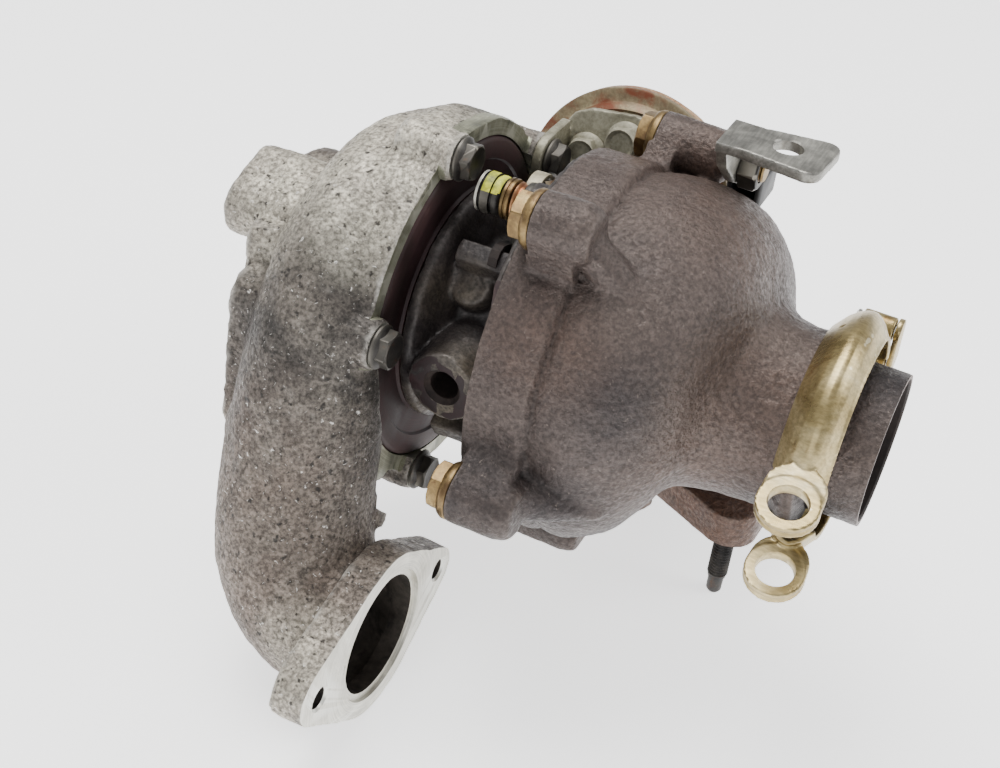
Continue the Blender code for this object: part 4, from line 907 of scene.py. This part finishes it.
def rotor():
    profile = [(-6.6, 3.6), (-6.6, COMP_WHEEL_R), (-7.8, COMP_WHEEL_R), (-8.6, 23), (-10.4, 19.2),
               (-13.2, 15),
               (-17, 11.8), (-22, 9.6), (-28.2, 8.2), (-35.6, 7.2), (-37.2, 6.4), (-37.2, 3.6)]
    hub = ring_body("hub", CENTRE, AXIS, profile, 72)
    blades = [compressor_blade(60 * i, 0) for i in range(6)]
    blades += [compressor_blade(60 * i + 30, 0.3) for i in range(6)]
    piece(joined("compressor_impeller", [hub] + blades), "rotor", "wheel_aluminium", ["compressor_wheel"])
    outline = [(-45.5, 2.6), (-45, 3.2), (-6.3, 3.2), (-6.3, 4.6), (4, 4.6), (4, 5), (37.3, 5), (39, 8),
               (40.4, 9), (40.4, 22), (41, 23.2), (42.2, 23.2), (43, 20.5), (44.6, 16.6), (47, 12.8),
               (51, 9.6), (56, 7.6), (62, 6.8), (66, 6.4), (68.2, 5.6), (69, 4)]
    shaft = turned("shaft", CENTRE, AXIS, outline, 64)
    blades = [turbine_blade(360 * i / 9) for i in range(9)]
    piece(joined("turbine_wheel", [shaft] + blades), "rotor", "machined_steel", ["turbine_wheel_shaft"],
          ["sooty_bore"])
    dome = turned("dome", (-37, 0, 0), (-1, 0, 0), [(-1, 7), (5.4, 6.2), (6.6, 5), (6.6, 0.5)], 40)
    nut = plain_nut("shaft_end_nut", (-37.5, -43.4), (0, 0), 6, 0.35, dome)
    carve(nut, bar("bore", -46, -36, (0, 0), 3.4))
    piece(nut, "rotor", "machined_steel", ["shaft_nut"])


# ---------------------------------------------------------------- turbine side

TOP = [(53, 56.4), (62, 57.2), (72, 55.6), (82, 51), (90, 42.5), (95.5, 31), (102, 27.8)]
BACK = [(53, 56.6), (62, 58.2), (73, 59), (84, 56.4), (93, 47.4), (98.5, 34), (103, 28.2)]
MIDDLE = [(53, 56.6), (61, 57), (69, 54.4), (77, 49.6), (84, 41), (90, 31.4), (99, 27.8)]
LOW = [(53, 56.5), (58, 56.4), (64, 53.4), (70, 49), (75, 41.5), (81, 31.4), (94, 27.8)]
SCROLL_KEYS = [(0, BACK), (100, TOP), (180, MIDDLE), (250, LOW), (318, LOW), (360, BACK)]


def scroll_profile(deg):
    for (a, first), (b, second) in zip(SCROLL_KEYS, SCROLL_KEYS[1:]):
        if a <= deg <= b:
            t = (deg - a) / (b - a)
            t = t * t * (3 - 2 * t)
            return [(p[0] + (q[0] - p[0]) * t, p[1] + (q[1] - p[1]) * t) for p, q in zip(first, second)]
    return BACK


def turbine_housing():
    front = [(TURBINE_FRONT_X - 1.5, 10), (TURBINE_FRONT_X - 1.5, 57.7), (48.8, 57.7), (49.6, 56.8),
             (50.4, 55.2)]
    back = [(108, 27.2), (112.6, 27.4), (117, 31.6), (120, 31.8), (121.4, SPIGOT_R)]
    back += [(SPIGOT_END_X + 1.5, SPIGOT_R), (SPIGOT_END_X + 1.5, 10)]
    rings = []
    for i in range(144):
        deg = 360 * i / 144
        curve = smooth_path(scroll_profile(deg), 4)
        rings.append([polar(x, r, deg) for x, r in front + curve + back])
    duct = [(78, 46, -59, 19.5), (77, 46, -40, 19), (75.5, 45, -20, 18.5), (74, 41, 4, 17.5)]
    outline = hull_outline([(PORT_X, PORT_Y, 22)] + [(x, y, 10) for x, y in INLET_STUDS])
    parts = [
        skin("shell", [list(line) for line in zip(*rings)]),
        tube("duct", smooth_path(duct, 5), 0, 48),
        prism("flange", outline, "z", PORT_FACE_Z - 1.5, -58),
    ]
    for i, deg in enumerate(TURBINE_BOLT_ANGLES):
        spot = polar(0, TURBINE_BOLT_R, deg)
        foot = polar(0, 50, deg)
        near = BOSS_FACES_X[i]
        far = 65.5 if i == 0 else 55
        outline = hull_outline([(spot.y, spot.z, 8.6), (foot.y, foot.z, 10.5)])
        column = [(0, 8.6), (far - near - 1, 8.2), (far - near + 1.5, 6.8)]
        parts.append(prism("boss", outline, "x", near - 1.5, 51))
        parts.append(turned("boss", (near - 1.5, spot.y, spot.z), AXIS, column, 48))
        if i > 0:
            start = polar(51, 62, deg)
            end = polar(72, 50, deg + 9)
            crease = [(*start, 6), (*((start + end) / 2), 5), (*end, 3)]
            parts.append(tube("crease", crease, 0, 24))
    body = cast("turbine_scroll", parts, 0.95, 4, [(12, 0.2), (3.6, 0.17), (1.7, 0.14)])
    face_off(body, "x", 0, TURBINE_FRONT_X - 0.5)
    face_off(body, "x", SPIGOT_END_X, 160)
    face_off(body, "z", -100, PORT_FACE_Z)
    spots = [polar(0, TURBINE_BOLT_R, deg) for deg in TURBINE_BOLT_ANGLES]
    for face, spot in zip(BOSS_FACES_X, spots):
        if face > TURBINE_FRONT_X:
            carve(body, bar("face", 30, face, spot, 9.6), index=1)
    path = [(PORT_X, PORT_Y, PORT_FACE_Z - 2, 15), (77.5, 46, -45, 14.6), (75.5, 44, -20, 14.2)]
    path += [(*polar(x, centre_r, deg), radius) for deg, centre_r, x, radius in VOLUTE_ARC]
    carve(body, tube("channel", smooth_path(path, 4), 0, 28), index=2)
    room = [(31, 52.5), (49.9, 52.5), (49.9, 46), (61, 44), (61, 32), (49.9, 30), (49.9, 24.9),
            (52, 22.9), (55.5, EXDUCER_R + 0.7), (66, EXDUCER_R + 0.7), (100, 21), (136.4, 21),
            (137.4, 21.8), (140, 21.8)]
    carve(body, turned("room", CENTRE, AXIS, room, 96), index=2)
    for i, spot in enumerate(spots):
        carve(body, bar("tap", 31, 70 if i == 0 else 50, spot, 4.4), index=2)
    for x, y in INLET_STUDS:
        carve(body, rod("tap", (x, y, PORT_FACE_Z - 1), (x, y, -60), 3.9), index=2)
    # Darker patches, most of them low on the front side and round the boss at 192 degrees.
    stain_and_sheen(body, "dark_patches", [(40, -66, -14, 16), (56, -54, -18, 14), (46, -30, -48, 24),
                          (66, -30, -44, 16), (120, -20, -16, 18), (132, 0, 20, 14), (70, -48, 18, 12)])
    stain_and_sheen(body, "orange", [(78, 30, -60, 34), (96, 20, -40, 26), (60, 46, -50, 30)])
    stain_and_sheen(body, "warm", [(104, -20, 12, 20), (72, 20, 54, 30), (50, -50, 30, 14),
                         (92, -34, -6, 16)])
    piece(body, "housing", "rusted_iron", ["turbine_housing"], ["rusted_iron", "cut_iron", "sooty_bore"])


def turbine_bolts():
    for i, deg in enumerate(TURBINE_BOLT_ANGLES):
        face = LOBE_FACE_X if i in LOBE_BOLTS else BOSS_FACES_X[i]
        spot = polar(face - 0.3, TURBINE_BOLT_R, deg)
        shank = 34 if i == 0 else 49 - face
        screw = hex_screw("flange_screw_%d" % (i + 1), spot, (-1, 0, 0),
                          13, 6.6, 8.5, 2.6, 4, shank, 0.25 + 0.3 * i, 0.9)
        piece(screw, "housing", "gold_zinc", ["turbine_bolt_%d" % (i + 1)])


def inlet_studs():
    for i, (x, y) in enumerate(INLET_STUDS):
        profile = [(0, 3), (0.8, 3.4)]
        along = 1
        while along < 31:
            profile += [(along, 3.5), (along + 0.62, 3.05)]
            along += 1.25
        profile += [(31.4, 3.1), (32, 2.7), (37.4, 2.6), (38.4, 2)]
        stud = turned("manifold_stud_%d" % (i + 1), (x, y, -60.6), (0, 0, -1), profile, 40)
        piece(stud, "housing", "dark_steel", ["inlet_stud_%d" % (i + 1)], sharp=60)


def support_bracket():
    spot = polar(0, TURBINE_BOLT_R, TURBINE_BOLT_ANGLES[0])
    upper = hull_outline([(74.5, 24.5, 3), (77.5, 36, 3), (92.5, 23.5, 4.5), (93.5, 36.5, 4.5)])
    leg = [(21.5, 65.4), (39, 65.4), (52, 57), (55, 45), (49, 40.5), (40, 45.2), (27, 56)]
    parts = [
        prism("upper", upper, "z", 62.6, 66.2),
        prism("bend", [(65.9, 21.6), (75, 21.6), (75, 38.9), (65.9, 38.9)], "z", 62.8, 66),
        prism("leg", leg, "x", 65.8, 69.3),
    ]
    body = cast("support_stay", parts, 0.5, 5, [(14, 0.12)])
    carve(body, turned("hole", (84.5, 31, 60), (0, 0, 1), [(0, 4.7), (5.7, 4.5), (6.4, 5.2), (9, 7.4)], 48))
    carve(body, bar("hole", 64, 71, spot, 4.45))
    piece(body, "housing", "grey_steel", ["support_bracket"])
    dome = [(-1, 8.5), (4.6, 7.6), (6.2, 6), (6.2, 0.5)]
    dome = turned("dome", (69.5, spot.y, spot.z), AXIS, dome, 40)
    nut = plain_nut("stay_nut", (69.5, 75.5), spot, 7.3, 0.4, dome)
    carve(nut, bar("bore", 69, 77, spot, 4.45))
    piece(nut, "housing", "dark_steel", ["bracket_nut"])


def band_half(name, start, end, ear_side, body, node, pin):
    """Half of the folded channel with its doubled rims, ear and hinge knuckle, one casting of sheet."""
    outer = [(111.9, 28.9), (112.6, 29.8), (115.4, 33.2), (117.4, 34.8), (119.4, 35.9), (121, 36.3),
             (122.4, 36.1),
             (123.8, 35.2), (125.2, 33.8), (127.2, 30.8), (127.9, 30.4)]
    inner = [(127.6, 29.5), (126.4, 29.7), (124, 32.8), (122.8, 34.2), (121.6, 34.9), (120.2, 34.6),
             (118.2, 33.5),
             (116.4, 32.2), (113.6, 29.2), (112.4, 28.4)]
    rings = []
    for i in range(61):
        deg = start + (end - start) * i / 60
        rings.append([polar(x, r, deg) for x, r in outer + inner])
    parts = [skin("channel", rings)]
    middle = polar(BAND_X, 0, 0) + polar(0, 42.5, BAND_GAP_DEG)
    tangent = polar(0, 1, BAND_GAP_DEG + 90)
    outward = polar(0, 1, BAND_GAP_DEG)
    centre = middle + tangent * (14 if ear_side > 0 else -18)
    stretch = 3.4 if ear_side > 0 else 5.3
    ear = hull_outline([(0, 0, 8.4), (-stretch, 0, 8.4)])
    collar = hull_outline([(0, 0, 8.7)])
    for outline, low, high in ((ear, -1.5, 1.5), (collar, -1.9, -0.9), (collar, 0.9, 1.9)):
        parts.append(plate("ear", centre, outward, AXIS, outline, low, high))
    parts.append(bar("knuckle", BAND_X - 5, BAND_X + 5, pin, 3.8))
    band = cast(name, parts, 0.42, 3, [(16, 0.1)])
    eye = [(-6, 7.6), (-1.9, 5.7), (-1.2, 5.4), (1.2, 5.4), (1.9, 5.7), (6, 7.6)]
    carve(band, turned("eye", centre, tangent, eye, 64))
    carve(band, bar("bore", BAND_X - 6, BAND_X + 6, pin, 2))
    spin = 1 if end > start else -1
    dimple = [(-2, 0.6), (-1.6, 1.5), (-0.6, 2.1), (1, 2.4)]
    for k in (0.18, 0.42, 0.68, 0.86):
        deg = start + (end - start) * k + 2 * spin
        carve(band, turned("dimple", polar(115, 35.2, deg), polar(-0.75, 0.66, deg), dimple, 24))
    piece(band, body, "band_zinc", [node], sharp=40)


def clamp_band():
    hinge = BAND_GAP_DEG + 180
    band_half("clamp_half_upper", hinge - 354, BAND_GAP_DEG - 22, -1, "upper_band", "band_upper", PIN_UP)
    band_half("clamp_half_lower", hinge - 6, BAND_GAP_DEG + 17, 1, "lower_band", "band_lower", PIN_LOW)
    outline = hull_outline([(PIN_UP.y, PIN_UP.z, 4), (PIN_LOW.y, PIN_LOW.z, 4)])
    link = rounded(prism("clamp_link", outline, "x", BAND_X + 5.4, BAND_X + 7.2), 0.4)
    piece(link, "housing", "band_zinc", ["band_link"])
    profile = [(0, 1.8), (0.1, 2.5), (0.5, 3), (1.2, 3), (1.4, 2.8), (1.4, 1.8), (11.6, 1.8), (12.2, 1.4)]
    for side, pin in (("upper", PIN_UP), ("lower", PIN_LOW)):
        body = turned("clamp_pin_" + side, (BAND_X - 7.2, pin.y, pin.z), AXIS, profile, 32)
        piece(body, "housing", "machined_steel", ["band_pin_" + side])


# ---------------------------------------------------------------- linkage and actuator


def linkage():
    """The marked cap, gold and copper rings and the strap-like lever on the crank's end."""
    profile = [(0, 5.2), (0.3, 5.6), (0.8, 5.9), (1.2, 6), (2.2, 6), (2.4, 5.5), (3, 5.5), (3.2, 6.2),
               (5.8, 6.2), (6, 5.9), (6, 5.4), (6.8, 5.4), (6.8, 5.9), (7.5, 6), (7.7, 5.7), (7.7, 4.6),
               (7.2, 4.2), (7.2, 0.9)]
    cap = turned("marked_cap", (16.2, CRANK.y, CRANK.z), (-1, 0, 0), profile, 72)
    repaint(cap, 1, lambda c, n: n.z > 0.5 and n.y < 0.5 and c.x > 9.9 and abs(n.x) < 0.6)
    repaint(cap, 2, lambda c, n: c.x < 9.2)
    piece(cap, "crank", "dark_steel", ["crank_cap"], ["dark_steel", "paint_mark", "stud_end"])
    gold = [(0, 5.6), (0.2, 6.1), (0.5, 6.2), (1, 6.2), (1.2, 5.9), (1.5, 5.9), (1.7, 6.2), (2.4, 6.2),
            (2.7, 6), (2.8, 5.4)]
    copper = [(0, 5), (0.3, 5.3), (1.2, 5.3), (1.5, 5.6), (2.3, 5.8), (2.6, 5.4)]
    for name, x, profile, slot, node in (("gold_ring", 19.3, gold, "gold_zinc", "gold_collar"),
                                         ("copper_ring", 22.2, copper, "bronze", "bronze_collar")):
        piece(turned(name, (x, CRANK.y, CRANK.z), (-1, 0, 0), profile, 64), "crank", slot, [node])
    end = CRANK + LEVER_DOWN * LEVER_LEN
    outline = hull_outline([(CRANK.y, CRANK.z, 6.5), (end.y, end.z, 5)])
    rim = hull_outline([(CRANK.y, CRANK.z, 6.6), (end.y, end.z, 5.1)])
    lever = [prism("lever", outline, "x", 22.6, 25.1), prism("rim", rim, "x", 23, 24.7)]
    lever = rounded(joined("lever", lever), 0.35)
    near = end - LEVER_DOWN * 0.8
    far = end + LEVER_DOWN * 2
    carve(lever, prism("slot", hull_outline([(near.y, near.z, 2.55), (far.y, far.z, 2.55)]), "x", 22, 26))
    piece(lever, "crank", "cream_steel", ["crank_lever"], ["dark_steel"])
    y = CRANK.y + 7.6
    z = CRANK.z + 1
    turns = [math.radians(160 - 11.5 * t) for t in range(13)]
    arch = [(y + 6.4 * math.cos(a), z + 5 * math.sin(a)) for a in turns]
    inner = [(y + (b - y) * 0.76, z + (c - z) * 0.72) for b, c in arch[::-1]]
    strap = rounded(prism("lever_strap", arch + inner, "x", 20.4, 24.6), 0.3, 2, 40)
    piece(strap, "crank", "cream_steel")
    profile = [(0, 1.2), (0, 2.6), (0.5, 3.1), (3.6, 3.1), (4, 2.6), (4, 1.2)]
    eye = ring_body("strap_eye", (20, CRANK.y + 7.6, CRANK.z + 0.6), AXIS, profile, 40)
    piece(eye, "crank", "black_plastic")


def can_point(along, a, b):
    side = CAN_AXIS.cross(Vector((0, 0, 1))).normalized()
    up = side.cross(CAN_AXIS).normalized()
    return CAN_CENTRE + CAN_AXIS * along + side * a + up * b


def actuator():
    front = [(-9.2, 4), (-9.2, 18.6), (-8.6, 19.4), (-8.6, 21.2), (-9.2, 22), (-9, 23.4), (-7.4, 27),
             (-6.2, 28.8), (-6.6, 30.4), (-5.6, 31.6), (-3.6, 32.6), (-2.8, 34), (-2.6, 36.4), (-2.2, CAN_R),
             (-0.6, CAN_R), (-0.3, 36.6), (-0.3, 33), (-1.8, 31.6), (-6, 26), (-7.8, 22.4), (-8, 17),
             (-8, 4)]
    shell = ring_body("can_front", CAN_CENTRE, CAN_AXIS, front, 96)
    piece(shell, "housing", "rusty_zinc", ["can_front_shell"])
    back = [(0, 32.6), (0, 36.6), (0.3, CAN_R), (2, CAN_R), (2.4, 36.2), (3, 34.4), (4.2, 33.9), (12, 33.4),
            (14, 33), (16.8, 31.9), (19, 30.7), (21.4, 29), (23.2, 26.8), (24.8, 24.2), (26, 21.6),
            (26.8, 17), (27.4, 12), (28, 5), (28, 2), (26.7, 2), (26.2, 11.6), (24.8, 21.2),
            (20.2, 28.2), (13.4, 31.6)]
    dome = ring_body("can_back", CAN_CENTRE, CAN_AXIS, back, 96)
    piece(dome, "housing", "rusty_zinc", ["can_dome"], ["rust_red"])
    profile = [(0, 1.6), (0, 4.6), (0.4, 5), (2.6, 5), (3, 4.6), (3, 3.2), (9.6, 3), (10.2, 3.7),
               (12, 3), (12.6, 3.7), (14.4, 2.9), (15.6, 2.7), (16, 2.4), (16, 1.6)]
    nipple = ring_body("hose_nipple", can_point(28.3, 0, 0), CAN_AXIS, profile, 40)
    piece(nipple, "housing", "machined_steel", ["vacuum_nipple"])


def actuator_mount():
    spot = polar(0, COVER_BOLT_R, COVER_BOLT_ANGLES[0])
    foot = hull_outline([(spot.y, spot.z, 8), (spot.y + 7, spot.z - 3, 8)])
    web = [(47, 24), (54, 19.5), (62, 20.5), (61.5, 38), (50, 38.5)]
    parts = [
        skin("plate", [[can_point(along, a, b) for a, b in PLATE_OUTLINE] for along in (-15.8, -12.9)]),
        prism("foot", foot, "x", 2.9, 6.3),
        prism("web", web, "x", 2.9, 6.2),
    ]
    body = cast("actuator_mount", parts, 0.55, 5, [(12, 0.14)])
    carve(body, bar("hole", 0, 9, spot, 3.3))
    for a, b in NUT_SPOTS:
        carve(body, turned("hole", can_point(-18, a, b), CAN_AXIS, [(0, 3), (7, 3)], 32))
    piece(body, "housing", "rusty_zinc", ["actuator_bracket"], ["plate_beige"])
    for i, (a, b) in enumerate(NUT_SPOTS):
        nut = hex_screw("mount_nut_%d" % (i + 1), can_point(-16.1, a, b), -CAN_AXIS,
                        10, 6, 6.8, 1.4, 2.6, 2.6, 0.2 + i, 1.2)
        piece(nut, "housing", "rusty_zinc", ["actuator_nut_%d" % (i + 1)], ["plate_beige"])


def sensor_plug():
    low, high = [(corner - ORIGIN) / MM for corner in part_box("sensor_plug")]
    outline = [(low.y, low.z), (high.y, low.z), (high.y, high.z), (low.y, high.z)]
    body = rounded(prism("sensor_connector", outline, "x", low.x + 0.2, high.x - 0.2), 1.6, 4)
    z = (low.z + high.z) / 2
    socket = [(low.y - 1, z - 4), (low.y + 12, z - 4), (low.y + 12, z + 4), (low.y - 1, z + 4)]
    carve(body, prism("socket", socket, "x", low.x + 2, high.x - 2))
    for k in range(3):
        y = (low.y + high.y) / 2 + 2 + 2.4 * k
        groove = [(y, high.z - 0.8), (y + 1.1, high.z - 0.8), (y + 1.1, high.z + 1), (y, high.z + 1)]
        carve(body, prism("groove", groove, "x", low.x - 1, high.x + 1))
    piece(body, "housing", "black_plastic", ["sensor_plug"])


def repaint_cad():
    """The CAD nodes that stay get the material of their slot."""
    slots = {entry["node"]: entry["material_slot"] for entry in frame["record"]["subparts"]}
    for name, obj in frame["nodes"].items():
        if obj.hide_render:
            continue
        obj.data.materials.clear()
        obj.data.materials.append(MATERIALS["sooty_bore" if name == "actuator_rod" else slots[name]])


# ---------------------------------------------------------------- studio


def area_light(name, place, aim, size, power, colour=(1, 1, 1)):
    data = bpy.data.lights.new(name, "AREA")
    data.shape = "RECTANGLE"
    data.size, data.size_y = size
    data.energy = power
    data.color = colour
    lamp = linked(name, data)
    lamp.location = place
    lamp.rotation_euler = (Vector(aim) - Vector(place)).to_track_quat("-Z", "Y").to_euler()


def studio():
    floor = bpy.data.meshes.new("floor")
    corners = [(-6, -6), (6, -6), (6, 6), (-6, 6)]
    floor.from_pydata([(x, y, FLOOR_Z) for x, y in corners], [], [(0, 1, 2, 3)])
    ground = linked("floor", floor)
    pale = Surface("pale_floor", 0, 0.6)
    tint = pale.ramp(pale.noise(1.4, 3), [(0.3, (243, 243, 244)), (0.7, (247, 247, 247))])
    pale.put(pale.shader.inputs["Emission Color"], (1, 1, 1))
    pale.put(pale.shader.inputs["Emission Strength"], 1.5)
    floor.materials.append(pale.done(tint, 0.6))
    world = bpy.data.worlds.new("studio")
    world.use_nodes = True
    sky = world.node_tree.nodes["Background"].inputs
    sky["Color"].default_value = (0.96, 0.98, 1, 1)
    sky["Strength"].default_value = 0.55
    bpy.context.scene.world = world
    centre = (0, 0, 0.08)
    area_light("key", (-0.3, 0.15, 1.2), centre, (0.8, 0.7), 17, (1, 0.99, 0.97))
    area_light("side", (0.95, 0.35, 0.75), centre, (0.6, 0.6), 6)
    area_light("front", (0.1, -1.1, 0.55), centre, (0.9, 0.5), 2.5)


def camera():
    data = bpy.data.cameras.new("camera")
    data.lens = 52.56
    data.sensor_width = 36
    data.clip_start = 0.01
    obj = linked("camera", data)
    right = Vector((0.889, 0.450, 0.083)).normalized()
    back = right.cross(Vector((-0.332, 0.509, 0.794))).normalized()
    turn = Matrix((right, back.cross(right), back)).transposed().to_4x4()
    obj.matrix_world = Matrix.Translation(Vector((0.1265, -0.339835, 0.3531))) @ turn
    bpy.context.scene.camera = obj


camera()
studio()
compressor_housing()
backplate()
compressor_bolts()
bearing_housing()
rotor()
turbine_housing()
turbine_bolts()
inlet_studs()
support_bracket()
clamp_band()
linkage()
actuator()
actuator_mount()
sensor_plug()
repaint_cad()
